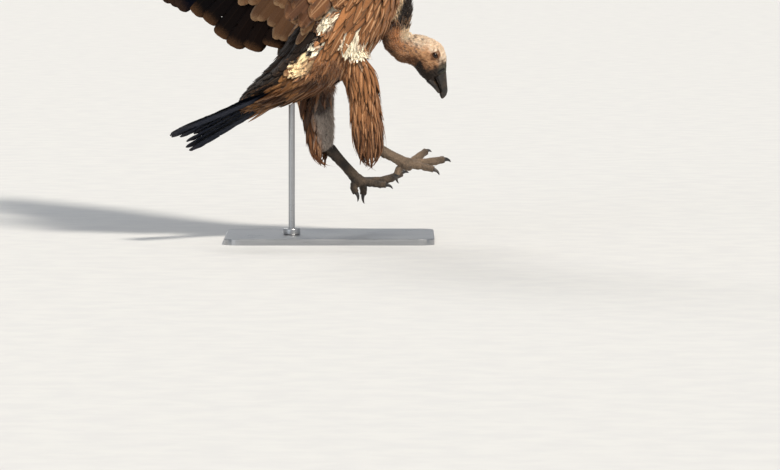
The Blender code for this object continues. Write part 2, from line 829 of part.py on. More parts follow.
def main():
    for thing in list(bpy.data.objects):
        bpy.data.objects.remove(thing, do_unlink=True)
    collection(COLLECTION)
    cutters = collection("cutters")
    trunk = make_trunk()
    trunk_cut = cutter_of(trunk, GAP, cutters)
    make_neck(trunk_cut)
    make_head(cutters)
    make_bill()
    make_tail(trunk_cut)
    for side in (1, -1):
        make_wing(side, trunk_cut)
    for word in ("left", "right"):
        thigh = make_thigh(word, trunk_cut)
        thigh_cut = cutter_of(thigh, GAP, cutters)
        way = make_tarsus(word, thigh_cut)
        tarsus_cut = cutter_of(bpy.data.objects[f"tarsus_{word}"], GAP, cutters)
        make_foot(word, way, tarsus_cut)
    make_stand(trunk_cut)


main()
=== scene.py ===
"""The finish of a white-backed vulture coming in to land: skin, feathers, bill and stand.

One skin lies under the coat. Every feather is a closed vane of its own, laid along the
body, and the flight feathers and coverts lie in rows on the arched wing.
"""
import math
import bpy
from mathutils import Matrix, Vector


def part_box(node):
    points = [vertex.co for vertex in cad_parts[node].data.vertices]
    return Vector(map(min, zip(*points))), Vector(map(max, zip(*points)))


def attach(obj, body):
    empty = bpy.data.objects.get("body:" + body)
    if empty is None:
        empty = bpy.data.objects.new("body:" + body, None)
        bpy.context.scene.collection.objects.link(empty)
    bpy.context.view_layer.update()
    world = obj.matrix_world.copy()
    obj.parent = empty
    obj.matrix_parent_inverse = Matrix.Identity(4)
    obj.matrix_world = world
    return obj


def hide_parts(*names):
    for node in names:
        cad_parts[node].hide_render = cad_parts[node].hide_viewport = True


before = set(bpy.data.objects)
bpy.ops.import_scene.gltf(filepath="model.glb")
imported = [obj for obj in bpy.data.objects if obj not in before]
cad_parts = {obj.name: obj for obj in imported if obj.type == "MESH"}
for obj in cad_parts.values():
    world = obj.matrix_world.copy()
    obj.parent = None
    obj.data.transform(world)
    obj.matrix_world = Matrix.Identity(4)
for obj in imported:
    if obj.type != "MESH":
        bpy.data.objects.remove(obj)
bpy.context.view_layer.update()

from types import SimpleNamespace

import bmesh
import bpy
import numpy as np
from bpy.props import FloatProperty, FloatVectorProperty, PointerProperty
from mathutils import Vector
from mathutils.bvhtree import BVHTree
from mathutils.kdtree import KDTree

bl_info = {
    "name": "Landing Vulture Finish",
    "version": (1, 0, 0),
    "blender": (4, 5, 0),
    "location": "View3D > Sidebar > Vulture",
    "description": "Skins and feathers a landing white-backed vulture",
    "category": "Object",
}

SIDES = {"left": 1, "right": -1}

# attitude of the bird and the lie of its wings
HEADING = math.radians(25)
ROLL = math.radians(22)
TRUNK_PITCH = math.radians(48)
LEFT_RISE = math.radians(42)
RIGHT_RISE = math.radians(80)
CHORD_PITCH = math.radians(47)
ELBOW_S = 0.19
WRIST_S = 0.44
HAND_S = 0.60
HAND_REAR = 0.020
FLIGHT_COUNTS = {"primaries": 10, "secondaries": 16, "tertials": 7}
HAND_QUILLS = 8
RECTRICES = 12
TERTIAL_TRIM = (-0.037, -0.018, 0.000, 0.006, -0.003, -0.018, -0.022)
SECONDARY_TRIM = (-0.004, 0.006, 0.018, 0.028, 0.030, 0.030, 0.029, 0.028,
                  0.027, 0.025, 0.023, 0.021, 0.019, 0.018, 0.017, 0.016)
TAIL_TRIM = (1.0, 1.0, 1.0, 1.0, 1.0, 0.99, 0.97, 0.90, 0.79, 0.87, 0.90, 0.90)
TAIL_LENGTH = 0.252
TAIL_SPREAD = math.radians(17)
TAIL_DROP = math.radians(26.5)
TAIL_ROLL = math.radians(8)
TAIL_ROOT = (-0.092, 0.306)
SPINE_LEAN = 0.45
HEAD_Y = 0.066
EYE_R = 0.0085
EYE = (0.2015, 0.0185, 0.3530)
LID = 0.0016
LID_POINTS = 40
CREST = (0.068, 0.494)

# fineness of the meshes, the share of the body skin's faces that is kept, the side of a
# tuft's patch on the bake map, and how a feather follows the lie of the coat
BODY_VOXEL = 0.0034
HEAD_VOXEL = 0.00105
BILL_VOXEL = 0.00065
LEG_VOXEL = 0.0010
CLAW_VOXEL = 0.0006
SKIN_KEPT = 0.4
TUFT_PATCH = 0.003
TRACE_STEPS = 4
FLOW_HOLD = 0.55
SEEDS = {"trunk": 11, "scapulars": 12, "thighs": 13, "ruff": 14, "patches": 15, "head": 16,
         "flight_left": 21, "flight_right": 22, "coverts_left": 31, "coverts_right": 33,
         "tail": 41}

SPINE = (
    (-0.176, 0.256), (-0.131, 0.281), (-0.087, 0.304), (-0.038, 0.342),
    (0.000, 0.385), (0.038, 0.438), (0.068, 0.494), (0.099, 0.562),
)


def unit(v):
    """Vectors brought to length one."""
    v = np.asarray(v, float)
    return v / np.maximum(np.linalg.norm(v, axis=-1, keepdims=True), 1e-12)


UP = np.array((0.0, 0.0, 1.0))
LEVEL_AHEAD = np.array((math.cos(HEADING), math.sin(HEADING), 0))
LEVEL_LEFT = np.array((-math.sin(HEADING), math.cos(HEADING), 0))
BACK_UP = UP * math.cos(TRUNK_PITCH) - LEVEL_AHEAD * math.sin(TRUNK_PITCH)
LEFT = LEVEL_LEFT * math.cos(ROLL) - BACK_UP * math.sin(ROLL)
DORSAL = BACK_UP * math.cos(ROLL) + LEVEL_LEFT * math.sin(ROLL)


def srgb(*rgb):
    """Linear colour from 0 to 255 display values."""
    c = np.array(rgb, float) / 255
    return np.where(c <= 0.04045, c / 12.92, ((c + 0.055) / 1.055) ** 2.4)


def ramp(x, a, b):
    """0 below a, 1 above b, smooth between; b may be the lower."""
    t = np.clip((np.asarray(x, float) - a) / (b - a), 0, 1)
    return t * t * (3 - 2 * t)


def mix(a, b, t):
    """From a to b by the share t, row by row where t is an array."""
    t = np.asarray(t, float)
    if t.ndim:
        t = t[..., None]
    return a * (1 - t) + b * t


# fixed colours; those that a user would change are in the panel's colours --------

JAW_SHADE = srgb(104, 68, 42)
CHEEK_MOTTLE = srgb(170, 118, 78)
LORE = srgb(118, 82, 54)
BRIDGE = srgb(74, 74, 62)
# painted shade: the dark underside of the neck
THROAT_PAINTED_SHADE = srgb(52, 30, 14)
THROAT_TAN = srgb(150, 98, 58)
NECK_SIDE = srgb(208, 140, 84)
NAPE_CREAM = srgb(244, 220, 186)
COLLAR_RUST = srgb(86, 46, 20)
SPECKLE = srgb(92, 80, 74)
# painted shade inside the nostril slits
NOSTRIL_PAINTED_SHADE = srgb(8, 7, 7)
EYE_RING = srgb(124, 85, 56)
IRIS_RIM = srgb(30, 20, 16)
PUPIL = srgb(4, 3, 3)
VENT_OCHRE = srgb(126, 84, 42)
# rusty brown of the vent's underside, deepened as painted shade
VENT_RUST_AND_SHADE = srgb(76, 40, 18)
VENT_STREAK = srgb(158, 110, 60)
THIGH_STREAK = srgb(200, 146, 104)
# cream of the ruff's strip, raised past white as painted light against the shadows among its
# tufts
RUFF_CREAM_PAINTED_LIGHT = srgb(255, 228, 192) * 1.2
FLIGHT_EDGE = srgb(104, 76, 54)
# the tail's black with a blue cast that is painted reflection of the sky
TAIL_BLACK_SKY_REFLECTION = srgb(34, 38, 50)
TAIL_EDGE = srgb(96, 84, 76)
SHAFT_HORN = (0.30, 0.20, 0.12)


def palette():
    """The colours of the panel, as arrays."""
    owner = bpy.context.scene.vulture_colours
    keys = VultureColours.__annotations__
    return SimpleNamespace(**{key: np.array(getattr(owner, key)) for key in keys})


# frames of reference -------------------------

def spine_curve():
    """Points along the spine, smooth through its marks, and their directions."""
    rows = np.array(SPINE)
    pts = np.stack([rows[:, 0], SPINE_LEAN * rows[:, 0], rows[:, 1]], 1)
    t = np.linspace(0, len(pts) - 1, 90)
    i = np.minimum(t.astype(int), len(pts) - 2)
    f = (t - i)[:, None]
    a = pts[np.maximum(i - 1, 0)]
    b = pts[i]
    c = pts[i + 1]
    d = pts[np.minimum(i + 2, len(pts) - 1)]
    line = 0.5 * (2 * b + (c - a) * f + (2 * a - 5 * b + 4 * c - d) * f ** 2
                  + (3 * b - a - 3 * c + d) * f ** 3)
    return line, unit(np.gradient(line, axis=0))


SPINE_LINE, SPINE_WAY = spine_curve()


def body_place(p):
    """Share along the spine, left and dorsal offsets, and spine direction of points."""
    best = np.zeros(len(p), int)
    for start in range(0, len(p), 20000):
        part = p[start:start + 20000]
        d = ((part[:, None] - SPINE_LINE[None]) ** 2).sum(2)
        best[start:start + 20000] = d.argmin(1)
    off = p - SPINE_LINE[best]
    return best / (len(SPINE_LINE) - 1), off @ LEFT, off @ DORSAL, SPINE_WAY[best]


class Wing:
    """The arched surface of a wing: s out along the span, c back along the chord."""

    LEAD = ((-0.05, 0.0), (0.0, -0.018), (0.2, -0.034), (WRIST_S, -0.058),
            (0.5, -0.050), (HAND_S, -0.016))
    REAR = ((-0.05, 0.090), (0.0, 0.100), (ELBOW_S, 0.130), (WRIST_S, HAND_REAR),
            (HAND_S, HAND_REAR))
    THICK = ((-0.05, 0.030), (0.0, 0.030), (ELBOW_S, 0.022), (WRIST_S, 0.012),
             (HAND_S, 0.005))
    PROFILE = ((0.0, 0.0), (0.06, 0.62), (0.22, 1.0), (0.45, 0.80), (0.75, 0.42),
               (1.0, 0.12), (1.02, 0.0))

    def __init__(self, word):
        self.side = SIDES[word]
        rise = LEFT_RISE if self.side > 0 else RIGHT_RISE
        self.span = self.side * LEVEL_LEFT * math.cos(rise) + UP * math.sin(rise)
        back = -(LEVEL_AHEAD * math.cos(CHORD_PITCH) + UP * math.sin(CHORD_PITCH))
        self.chord = unit(back - self.span * np.dot(back, self.span))
        self.normal = np.cross(self.span, self.chord) * self.side
        root = np.array((CREST[0], SPINE_LEAN * CREST[0], CREST[1]))
        self.root = root + LEFT * self.side * 0.060 + DORSAL * 0.020

    @staticmethod
    def line(pairs, s):
        """Value at s of a line given by its marks."""
        return np.interp(s, [p[0] for p in pairs], [p[1] for p in pairs])

    def place(self, s, c, n):
        """Points at s along the span and c along the chord, n above the surface."""
        s, c, n = np.broadcast_arrays(s, c, n)
        arch = 0.16 * s - 0.26 * s * s - 0.22 * np.maximum(c, 0) ** 2
        return (self.root + self.span * s[..., None] + self.chord * c[..., None]
                + self.normal * (arch + n)[..., None])

    def height(self, s, c, upper):
        """Thickness of the arm above or below the middle surface."""
        lead = self.line(self.LEAD, s)
        rear = self.line(self.REAR, s)
        share = np.clip((c - lead) / (rear - lead), 0, 1.05)
        h = self.line(self.THICK, s) * self.line(self.PROFILE, share)
        h = np.where(s > HAND_S, h * ramp(s, HAND_S + 0.02, HAND_S), h)
        return h * (1.0 if upper else 0.75)


# meshes from arrays --------------------------

def add_object(name, data):
    """Puts a mesh, a lamp or a camera into the scene as an object."""
    thing = bpy.data.objects.new(name, data)
    bpy.context.scene.collection.objects.link(thing)
    return thing


def make_mesh(name, points, faces):
    """A smooth mesh object from an array of points and a list of face index arrays."""
    mesh = bpy.data.meshes.new(name)
    mesh.vertices.add(len(points))
    mesh.vertices.foreach_set("co", np.ascontiguousarray(points, np.float32).ravel())
    loops = np.concatenate([f.ravel() for f in faces]).astype(np.int32)
    sizes = np.concatenate([np.full(len(f), f.shape[1], np.int32) for f in faces])
    starts = np.concatenate([[0], np.cumsum(sizes)[:-1]]).astype(np.int32)
    mesh.loops.add(len(loops))
    mesh.loops.foreach_set("vertex_index", loops)
    mesh.polygons.add(len(sizes))
    mesh.polygons.foreach_set("loop_start", starts)
    mesh.polygons.foreach_set("loop_total", sizes)
    mesh.polygons.foreach_set("use_smooth", np.full(len(sizes), True))
    mesh.update(calc_edges=True)
    return add_object(name, mesh)


def set_colour(mesh, name, values):
    """A colour attribute with one value for each point."""
    attribute = mesh.color_attributes.new(name, "FLOAT_COLOR", "POINT")
    data = np.ones((len(mesh.vertices), 4), np.float32)
    data[:, :3] = values
    attribute.data.foreach_set("color", data.ravel())


def set_uv(mesh, name, per_point):
    """A UV map whose value at a corner is that of its point."""
    layer = mesh.uv_layers.new(name=name)
    index = np.zeros(len(mesh.loops), np.int32)
    mesh.loops.foreach_get("vertex_index", index)
    layer.data.foreach_set("uv", np.asarray(per_point, np.float32)[index].ravel())


def verts_of(mesh):
    """Places of a mesh's points."""
    co = np.zeros(len(mesh.vertices) * 3, np.float32)
    mesh.vertices.foreach_get("co", co)
    return co.reshape(-1, 3).astype(float)


def normals_of(mesh):
    """Normals at a mesh's points."""
    no = np.zeros(len(mesh.vertices) * 3, np.float32)
    mesh.vertices.foreach_get("normal", no)
    return no.reshape(-1, 3).astype(float)


def put_verts(mesh, co):
    """Moves a mesh's points to new places."""
    mesh.vertices.foreach_set("co", np.ascontiguousarray(co, np.float32).ravel())
    mesh.update()


def pick(*things):
    """Selects these objects alone; the last is the active one."""
    bpy.ops.object.select_all(action="DESELECT")
    for thing in things:
        thing.select_set(True)
        bpy.context.view_layer.objects.active = thing


def shade(thing, material):
    """Gives an object one material."""
    thing.data.materials.clear()
    thing.data.materials.append(material)


def done(thing, slot, *nodes):
    """Ride on the body and stand for the given nodes; the slot is not used."""
    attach(thing, "root")
    if nodes:
        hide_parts(*nodes)


# feathers ------------------------------------

class Net:
    """Points and faces of one closed feather: u across, v along, s above or below."""

    def faces(self, n):
        """Faces of n copies."""
        shift = (np.arange(n) * len(self.u))[:, None, None]
        return [(self.quads[None] + shift).reshape(-1, 4),
                (self.tris[None] + shift).reshape(-1, 3)]


class Vane(Net):
    """A blade with u from -1 to 1 and v from 0 to 1, one face above and one below."""

    def __init__(self, rows, top, low):
        rows = np.asarray(rows, float)
        self.u, self.v, self.s = [0.0], [0.0], [0]
        self.quads, self.tris = [], []
        grid = []
        for v in rows:
            line = {}
            for u in top:
                line[(u, 1)] = self._add(u, v, 0 if abs(u) == 1 else 1)
            for u in low:
                edge = abs(u) == 1
                line[(u, -1)] = line[(u, 1)] if edge else self._add(u, v, -1)
            grid.append(line)
        end = self._add(0.0, 1.0, 0)
        for sign, cols in ((1, top), (-1, low)):
            for a, b in zip(cols[:-1], cols[1:]):
                first = (0, grid[0][(b, sign)], grid[0][(a, sign)])
                last = (end, grid[-1][(a, sign)], grid[-1][(b, sign)])
                for face in (first, last):
                    self.tris.append(face if sign > 0 else face[::-1])
                for r in range(len(grid) - 1):
                    face = (grid[r][(a, sign)], grid[r][(b, sign)],
                            grid[r + 1][(b, sign)], grid[r + 1][(a, sign)])
                    self.quads.append(face if sign > 0 else face[::-1])
        self.u, self.v, self.s = (np.array(x, float) for x in (self.u, self.v, self.s))
        self.quads = np.array(self.quads, np.int64)
        self.tris = np.array(self.tris, np.int64)

    def _add(self, u, v, s):
        self.u.append(u)
        self.v.append(v)
        self.s.append(s)
        return len(self.u) - 1


class Spike(Net):
    """One tuft of down, three-sided and pointed."""

    def __init__(self):
        self.u = np.array([-1, 1, 0, -1, 1, 0, 0], float)
        self.v = np.array([0.1, 0.1, 0.1, 0.5, 0.5, 0.5, 1.0])
        self.s = np.array([0, 0, 1, 0, 0, 1, 0], float)
        self.quads = np.array([(1, 0, 3, 4), (2, 1, 4, 5), (0, 2, 5, 3)], np.int64)
        self.tris = np.array([(0, 1, 2), (4, 3, 6), (5, 4, 6), (3, 5, 6)], np.int64)


def taper(v, peak, edge, power):
    """Width of a feather along it: quick rise to the peak, then narrowing to its end."""
    rise = np.clip(v / peak, 0, 1) ** 0.6
    fall = np.clip((v - peak) / (1 - peak), 0, 1)
    return rise * np.maximum(1 - fall ** edge, 0) ** power


SMALL = Vane((0.05, 0.2, 0.4, 0.6, 0.78, 0.92), (-1, -0.45, 0, 0.45, 1), (-1, 0, 1))
COVERT_NET = Vane((0.04, 0.15, 0.3, 0.45, 0.6, 0.74, 0.85, 0.93, 0.98),
                  (-1, -0.6, -0.08, 0.08, 0.6, 1), (-1, 0, 1))
SPIKE = Spike()
FLIGHT_ROWS = np.concatenate([
    (0.01, 0.05, 0.12, 0.2, 0.28, 0.36), (0.430, 0.438, 0.446), (0.5, 0.56, 0.62),
    (0.668, 0.675, 0.682), (0.73, 0.78), (0.826, 0.832, 0.838), (0.88, 0.92, 0.95, 0.975, 0.99)])
FLIGHT_NET = Vane(FLIGHT_ROWS, (-1, -0.7, -0.4, -0.12, -0.04, 0.04, 0.15, 0.55, 1),
                  (-1, -0.5, -0.06, 0.06, 0.5, 1))
SPLIT_ROWS = (6, 12, 17)


class Coat:
    """Feathers gathered for one piece, with their marks and their bake patches."""

    def __init__(self, name):
        self.name = name
        self.points, self.faces, self.vane_uv, self.bake_uv = [], [], [], []
        self.tint, self.pale, self.mark = [], [], []
        self.count = 0

    def add(self, net, points, tint, pale, mark, bake, patch):
        """points is n by net size by 3; tint, pale and mark are n by 3; bake is n by 2."""
        n, m = points.shape[:2]
        inside_out = self.volumes(net, points) < 0
        for f in net.faces(n):
            f = f.reshape(n, -1, f.shape[-1])
            f[inside_out] = f[inside_out][:, :, ::-1]
            self.faces.append(f.reshape(-1, f.shape[-1]) + self.count)
        self.count += n * m
        self.points.append(points.reshape(-1, 3))
        uv = np.stack([0.5 + 0.5 * net.u, net.v], 1)
        self.vane_uv.append(np.tile(uv, (n, 1)))
        patch = np.broadcast_to(np.asarray(patch, float), (n, 2))
        local = (uv - 0.5)[None] * patch[:, None, :]
        self.bake_uv.append((bake[:, None, :] + local).reshape(-1, 2))
        for store, value in ((self.tint, tint), (self.pale, pale), (self.mark, mark)):
            value = np.broadcast_to(value, (n, 3))
            store.append(np.repeat(value, m, axis=0))

    @staticmethod
    def volumes(net, points):
        """Signed volume of each feather, negative where its faces look inwards."""
        tris = np.concatenate([net.tris, net.quads[:, :3], net.quads[:, (0, 2, 3)]])
        p = points - points[:, :1]
        a, b, c = p[:, tris[:, 0]], p[:, tris[:, 1]], p[:, tris[:, 2]]
        return (a * np.cross(b, c)).sum((1, 2))

    def finish(self, material, slot, *nodes):
        """Makes the piece, with its maps and marks."""
        thing = make_mesh(self.name, np.concatenate(self.points), self.faces)
        mesh = thing.data
        set_uv(mesh, "Vane", np.concatenate(self.vane_uv))
        set_uv(mesh, "OFBake", np.clip(np.concatenate(self.bake_uv), 0.0005, 0.9995))
        set_colour(mesh, "tint", np.concatenate(self.tint))
        set_colour(mesh, "pale", np.concatenate(self.pale))
        set_colour(mesh, "mark", np.concatenate(self.mark))
        shade(thing, material)
        done(thing, slot, *nodes)


def curve_weights(v):
    """Weights that carry the marks of a traced path to shares v of its length."""
    t = np.clip(v, 0, 1) * TRACE_STEPS
    i = np.minimum(t.astype(int), TRACE_STEPS - 1)
    f = t - i
    w = np.zeros((len(v), TRACE_STEPS + 1))
    d = np.zeros((len(v), TRACE_STEPS + 1))
    parts = (
        (-1, -f / 2 + f ** 2 - f ** 3 / 2, -0.5 + 2 * f - 1.5 * f ** 2),
        (0, 1 - 2.5 * f ** 2 + 1.5 * f ** 3, -5 * f + 4.5 * f ** 2),
        (1, f / 2 + 2 * f ** 2 - 1.5 * f ** 3, 0.5 + 4 * f - 4.5 * f ** 2),
        (2, -f ** 2 / 2 + f ** 3 / 2, -f + 1.5 * f ** 2),
    )
    row = np.arange(len(v))
    for shift, value, slope in parts:
        k = np.clip(i + shift, 0, TRACE_STEPS)
        np.add.at(w, (row, k), value)
        np.add.at(d, (row, k), slope)
    return w, d


def trace(skin, at, way, length, free):
    """Points and normals of feathers that run over the skin from their roots."""
    length = np.broadcast_to(length, len(at))
    index = skin.nearest(at)
    normal = skin.normals[index]
    way = unit(way - normal * (way * normal).sum(1)[:, None])
    points, normals = [at], [normal]
    for _ in range(TRACE_STEPS):
        step = points[-1] + way * (length / TRACE_STEPS)[:, None]
        index = skin.nearest(step)
        drop = ((skin.points[index] - step) * skin.normals[index]).sum(1)
        pull = drop * np.where(drop > 0, 1.0, 1 - free)
        points.append(step + skin.normals[index] * pull[:, None])
        normal = unit(normal + skin.normals[index])
        normals.append(normal)
        way = mix(unit(points[-1] - points[-2]), skin.flow[index], FLOW_HOLD)
        way = unit(way - normal * (way * normal).sum(1)[:, None])
    return np.stack(points, 1), np.stack(normals, 1)


def drape(net, path, normals, length, width, rise, rng, peak=0.35, edge=1.8, power=0.8,
          thick=0.0005, low=0.0004, ragged=0.10, sway=0.05, cup=0.25):
    """Feathers laid along traced paths; rise is how far the tip stands off the skin."""
    n = len(path)
    weight, slope = curve_weights(net.v)
    spot = np.einsum("mk,nkc->nmc", weight, path)
    tangent = unit(np.einsum("mk,nkc->nmc", slope, path))
    normal = unit(np.einsum("mk,nkc->nmc", weight, normals))
    side = np.cross(tangent, normal)
    u, v, s = net.u[None], net.v[None], net.s[None]
    length, width, rise = (np.broadcast_to(x, n)[:, None] for x in (length, width, rise))
    border = (np.abs(net.u) == 1)[None]
    w = taper(net.v, peak, edge, power)[None]
    x = width * u * w * (1 + border * rng.normal(0, ragged, (n, len(net.u))))
    x = x + rng.normal(0, sway, n)[:, None] * length * v * v
    fray = rng.normal(0, ragged * 0.15, (n, len(net.u)))
    y = length * (0.04 * np.abs(u) * w + border * fray)
    z = low + rise * v ** 0.8 - cup * width * (u * w) ** 2 + s * thick * (1.15 - v)
    return spot + side * x[..., None] + tangent * y[..., None] + normal * z[..., None]


# skin ----------------------------------------

ARMS = ("upper_arm", "forearm", "hand")
TRUNK, RUFF, THIGH, NECK, HEAD, WING = range(6)
TRACT = {"trunk": TRUNK, "neck_ruff": RUFF, "thigh_left": THIGH, "thigh_right": THIGH,
         "neck": NECK, "head": HEAD}
TRACT.update({f"wing_{word}_{part}": WING for word in SIDES for part in ARMS})
NECK_LINE = np.array((
    (0.2065, 0.066, 0.3130), (0.1975, 0.066, 0.3395), (0.1840, 0.066, 0.3575),
    (0.1660, 0.066, 0.3655), (0.1530, 0.066, 0.3678), (0.1400, 0.066, 0.3710),
    (0.1300, 0.065, 0.3820), (0.1268, 0.064, 0.3980), (0.1270, 0.063, 0.4120),
    (0.1270, 0.060, 0.4400), (0.1180, 0.052, 0.4780), (0.0850, 0.038, 0.5200),
))
KNEE = {"left": (-0.036, 0.040, 0.318), "right": (0.052, -0.034, 0.335)}
ANKLE = {"left": (-0.004, 0.052, 0.176), "right": (0.088, -0.040, 0.179)}
SKIN = {}


def fine_line(rows, count=80):
    """Points evenly spaced along a route, eased at its corners, and their directions."""
    rows = np.asarray(rows, float)
    run = np.concatenate([[0], np.cumsum(np.linalg.norm(np.diff(rows, axis=0), axis=1))])
    t = np.linspace(0, run[-1], count)
    line = np.stack([np.interp(t, run, rows[:, k]) for k in range(3)], 1)
    for _ in range(3):
        line[1:-1] = (line[:-2] + 2 * line[1:-1] + line[2:]) / 4
    return line, unit(np.gradient(line, axis=0))


NECK_FINE, NECK_WAY = fine_line(NECK_LINE)


def nearest_on(line, p):
    """Index of the point of a line that is nearest to each place."""
    return ((p[:, None] - line[None]) ** 2).sum(2).argmin(1)


def gap_to(line, p):
    """Distance of each place from the nearest point of a line."""
    return np.sqrt(((p[:, None] - line[None]) ** 2).sum(2).min(1))


def thigh_side(p):
    """True for points on the left leg."""
    left, right = (gap_to(fine_line((KNEE[word], ANKLE[word]), 20)[0], p) for word in SIDES)
    return left < right


def each_leg(p):
    """Side, points on that side, knee and ankle of each leg."""
    left = thigh_side(p)
    for word, rows in (("left", left), ("right", ~left)):
        yield word, rows, np.array(KNEE[word]), np.array(ANKLE[word])


def leg_share(p):
    """How far down the feathered leg a point is, 0 at the knee and 1 at the ankle."""
    share = np.zeros(len(p))
    for _, rows, knee, ankle in each_leg(p):
        way = ankle - knee
        share[rows] = (p[rows] - knee) @ way / (way @ way)
    return share


def leg_place(p):
    """How far each point faces the other leg and the front, from its own leg's middle."""
    inward, fore = np.zeros(len(p)), np.zeros(len(p))
    for word, rows, knee, ankle in each_leg(p):
        way = unit(ankle - knee)
        off = p[rows] - knee
        off = unit(off - (off @ way)[:, None] * way)
        inward[rows] = off @ LEVEL_LEFT * -SIDES[word]
        fore[rows] = off @ LEVEL_AHEAD
    return inward, fore


def natural_flow(p, tract):
    """The way feathers point at places on the skin."""
    share, _, up, way = body_place(p)
    droop = 0.10 * ramp(share, 0.20, 0.40)
    tuck = 0.32 * ramp(share, 0.26, 0.08) * ramp(up, 0.0, -0.02)
    flow = DORSAL * tuck[:, None] - way - UP * droop[:, None]
    neck = np.isin(tract, (RUFF, NECK, HEAD))
    flow[neck] = NECK_WAY[nearest_on(NECK_FINE, p[neck])]
    for _, rows, knee, ankle in each_leg(p):
        down = unit(unit(ankle - knee) - LEVEL_AHEAD * 0.22)
        near = ramp(np.linalg.norm(p - knee, axis=1), 0.080, 0.045)
        near = np.where(tract == THIGH, 1.0, near * (tract == TRUNK)) * rows
        flow = unit(flow * (1 - near[:, None]) + down * near[:, None])
    arm = tract == WING
    for word, side in SIDES.items():
        wing = Wing(word)
        rows = arm & (p @ LEVEL_LEFT * side > 0.0)
        flow[rows] = wing.chord
    return unit(flow)


def cloud(p, scale, seed):
    """Smooth wandering values between about -1 and 1."""
    rng = np.random.default_rng(seed)
    total = np.zeros(len(p))
    for _ in range(7):
        k = unit(rng.normal(0, 1, 3)) * rng.uniform(0.6, 1.7) * 2 * math.pi / scale
        total += np.sin(p @ k + rng.uniform(0, 6.28))
    return total / 3.2


def soften(values, edges, rounds):
    """Values averaged with those of neighbouring points, several times over."""
    n = len(values)
    count = np.bincount(edges.ravel(), minlength=n)[:, None] + 1
    for _ in range(rounds):
        total = values.copy()
        for a, b in ((0, 1), (1, 0)):
            for k in range(values.shape[1]):
                total[:, k] += np.bincount(edges[:, a], values[edges[:, b], k], n)
        values = total / count
    return values


class Skin:
    """Points of a skin with their outward normals and the lie of the feathers."""

    def __init__(self, mesh):
        self.points = verts_of(mesh)
        self.normals = normals_of(mesh)
        edges = np.zeros(len(mesh.edges) * 2, np.int32)
        mesh.edges.foreach_get("vertices", edges)
        self.edges = edges.reshape(-1, 2)
        self.tract = tracts_at(self.points)
        self.flow = None
        self.tree = None

    def prepare(self, mesh, rounds):
        """Takes the normals of the shaped mesh, the lie of the coat and a search tree."""
        self.normals = unit(soften(normals_of(mesh), self.edges, rounds))
        self.flow = unit(soften(natural_flow(self.points, self.tract), self.edges, 20))
        self.tree = KDTree(len(self.points))
        for i, p in enumerate(self.points):
            self.tree.insert(p, i)
        self.tree.balance()

    def nearest(self, p):
        """Index of the skin point nearest to each place."""
        return np.array([self.tree.find(q)[1] for q in p], int)


def gather(bm, names, grow=0.0):
    """Adds merged copies of nodes to a mesh, a little swollen so that they join."""
    for name in names:
        part = bmesh.new()
        part.from_mesh(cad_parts[name].data)
        bmesh.ops.remove_doubles(part, verts=part.verts, dist=1e-5)
        bmesh.ops.recalc_face_normals(part, faces=part.faces)
        part.normal_update()
        for v in part.verts:
            v.co += v.normal * grow
        spare = bpy.data.meshes.new("part")
        part.to_mesh(spare)
        part.free()
        bm.from_mesh(spare)
        bpy.data.meshes.remove(spare)


def add_tube(bm, rows, sides=12):
    """Adds a closed tube through rows of x, y, z, half width and half depth."""
    side = np.array((0, 1, 0))
    rows = np.asarray(rows, float)
    ways = unit(np.gradient(rows[:, :3], axis=0))
    rings = []
    for row, way in zip(rows, ways):
        a = unit(side - way * np.dot(side, way))
        b = np.cross(way, a)
        ring = []
        for k in range(sides):
            t = 2 * math.pi * k / sides
            out = a * row[3] * math.cos(t) + b * row[4] * math.sin(t)
            ring.append(bm.verts.new(row[:3] + out))
        rings.append(ring)
    for r0, r1 in zip(rings[:-1], rings[1:]):
        for k in range(sides):
            bm.faces.new((r0[k], r0[(k + 1) % sides], r1[(k + 1) % sides], r1[k]))
    bm.faces.new(rings[0][::-1])
    bm.faces.new(rings[-1])


def settle(bm, name, voxel, smooth_rounds):
    """One closed mesh from overlapping shells."""
    mesh = bpy.data.meshes.new(name)
    bm.to_mesh(mesh)
    bm.free()
    thing = add_object(name, mesh)
    pick(thing)
    melt = thing.modifiers.new("melt", "REMESH")
    melt.mode = "VOXEL"
    melt.voxel_size = voxel
    melt.use_smooth_shade = True
    bpy.ops.object.modifier_apply(modifier="melt")
    ease = thing.modifiers.new("ease", "SMOOTH")
    ease.factor = 0.5
    ease.iterations = smooth_rounds
    bpy.ops.object.modifier_apply(modifier="ease")
    return thing


def tracts_at(p):
    """The tract each point belongs to, that of the nearest flesh node."""
    points, faces, labels = [], [], []
    for name, label in TRACT.items():
        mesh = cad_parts[name].data
        base = len(points)
        points += [v.co.copy() for v in mesh.vertices]
        faces += [[base + i for i in face.vertices] for face in mesh.polygons]
        labels += [label] * len(mesh.polygons)
    tree = BVHTree.FromPolygons(points, faces)
    return np.array([labels[tree.find_nearest(Vector(q))[2]] for q in p])


def coat_depth(p, tract, settings):
    """How far the skin lies inside the outline at each point."""
    body = settings.body_depth
    depth = np.select([tract == TRUNK, tract == RUFF, tract == THIGH, tract == NECK,
                       tract == HEAD], [body, body, body * 0.8, 0.0024, 0.0006], 0.0028)
    shank = tract == THIGH
    run = leg_share(p[shank])
    depth[shank] *= ramp(run, 1.05, 0.4) * 0.75 + 0.25 + 0.9 * ramp(run, 0.16, -0.10)
    return depth


def make_body_skin(settings):
    """Skin of all the flesh but the head, sunk under the coat."""
    bm = bmesh.new()
    gather(bm, [name for name, tract in TRACT.items() if tract != HEAD], 0.0012)
    thing = settle(bm, "skin", BODY_VOXEL, 6)
    skin = Skin(thing.data)
    depth = coat_depth(skin.points, skin.tract, settings)[:, None]
    depth = soften(depth, skin.edges, 8)
    skin.points = skin.points - skin.normals * (depth + 0.0010)
    put_verts(thing.data, skin.points)
    skin.prepare(thing.data, 4)
    return thing, skin


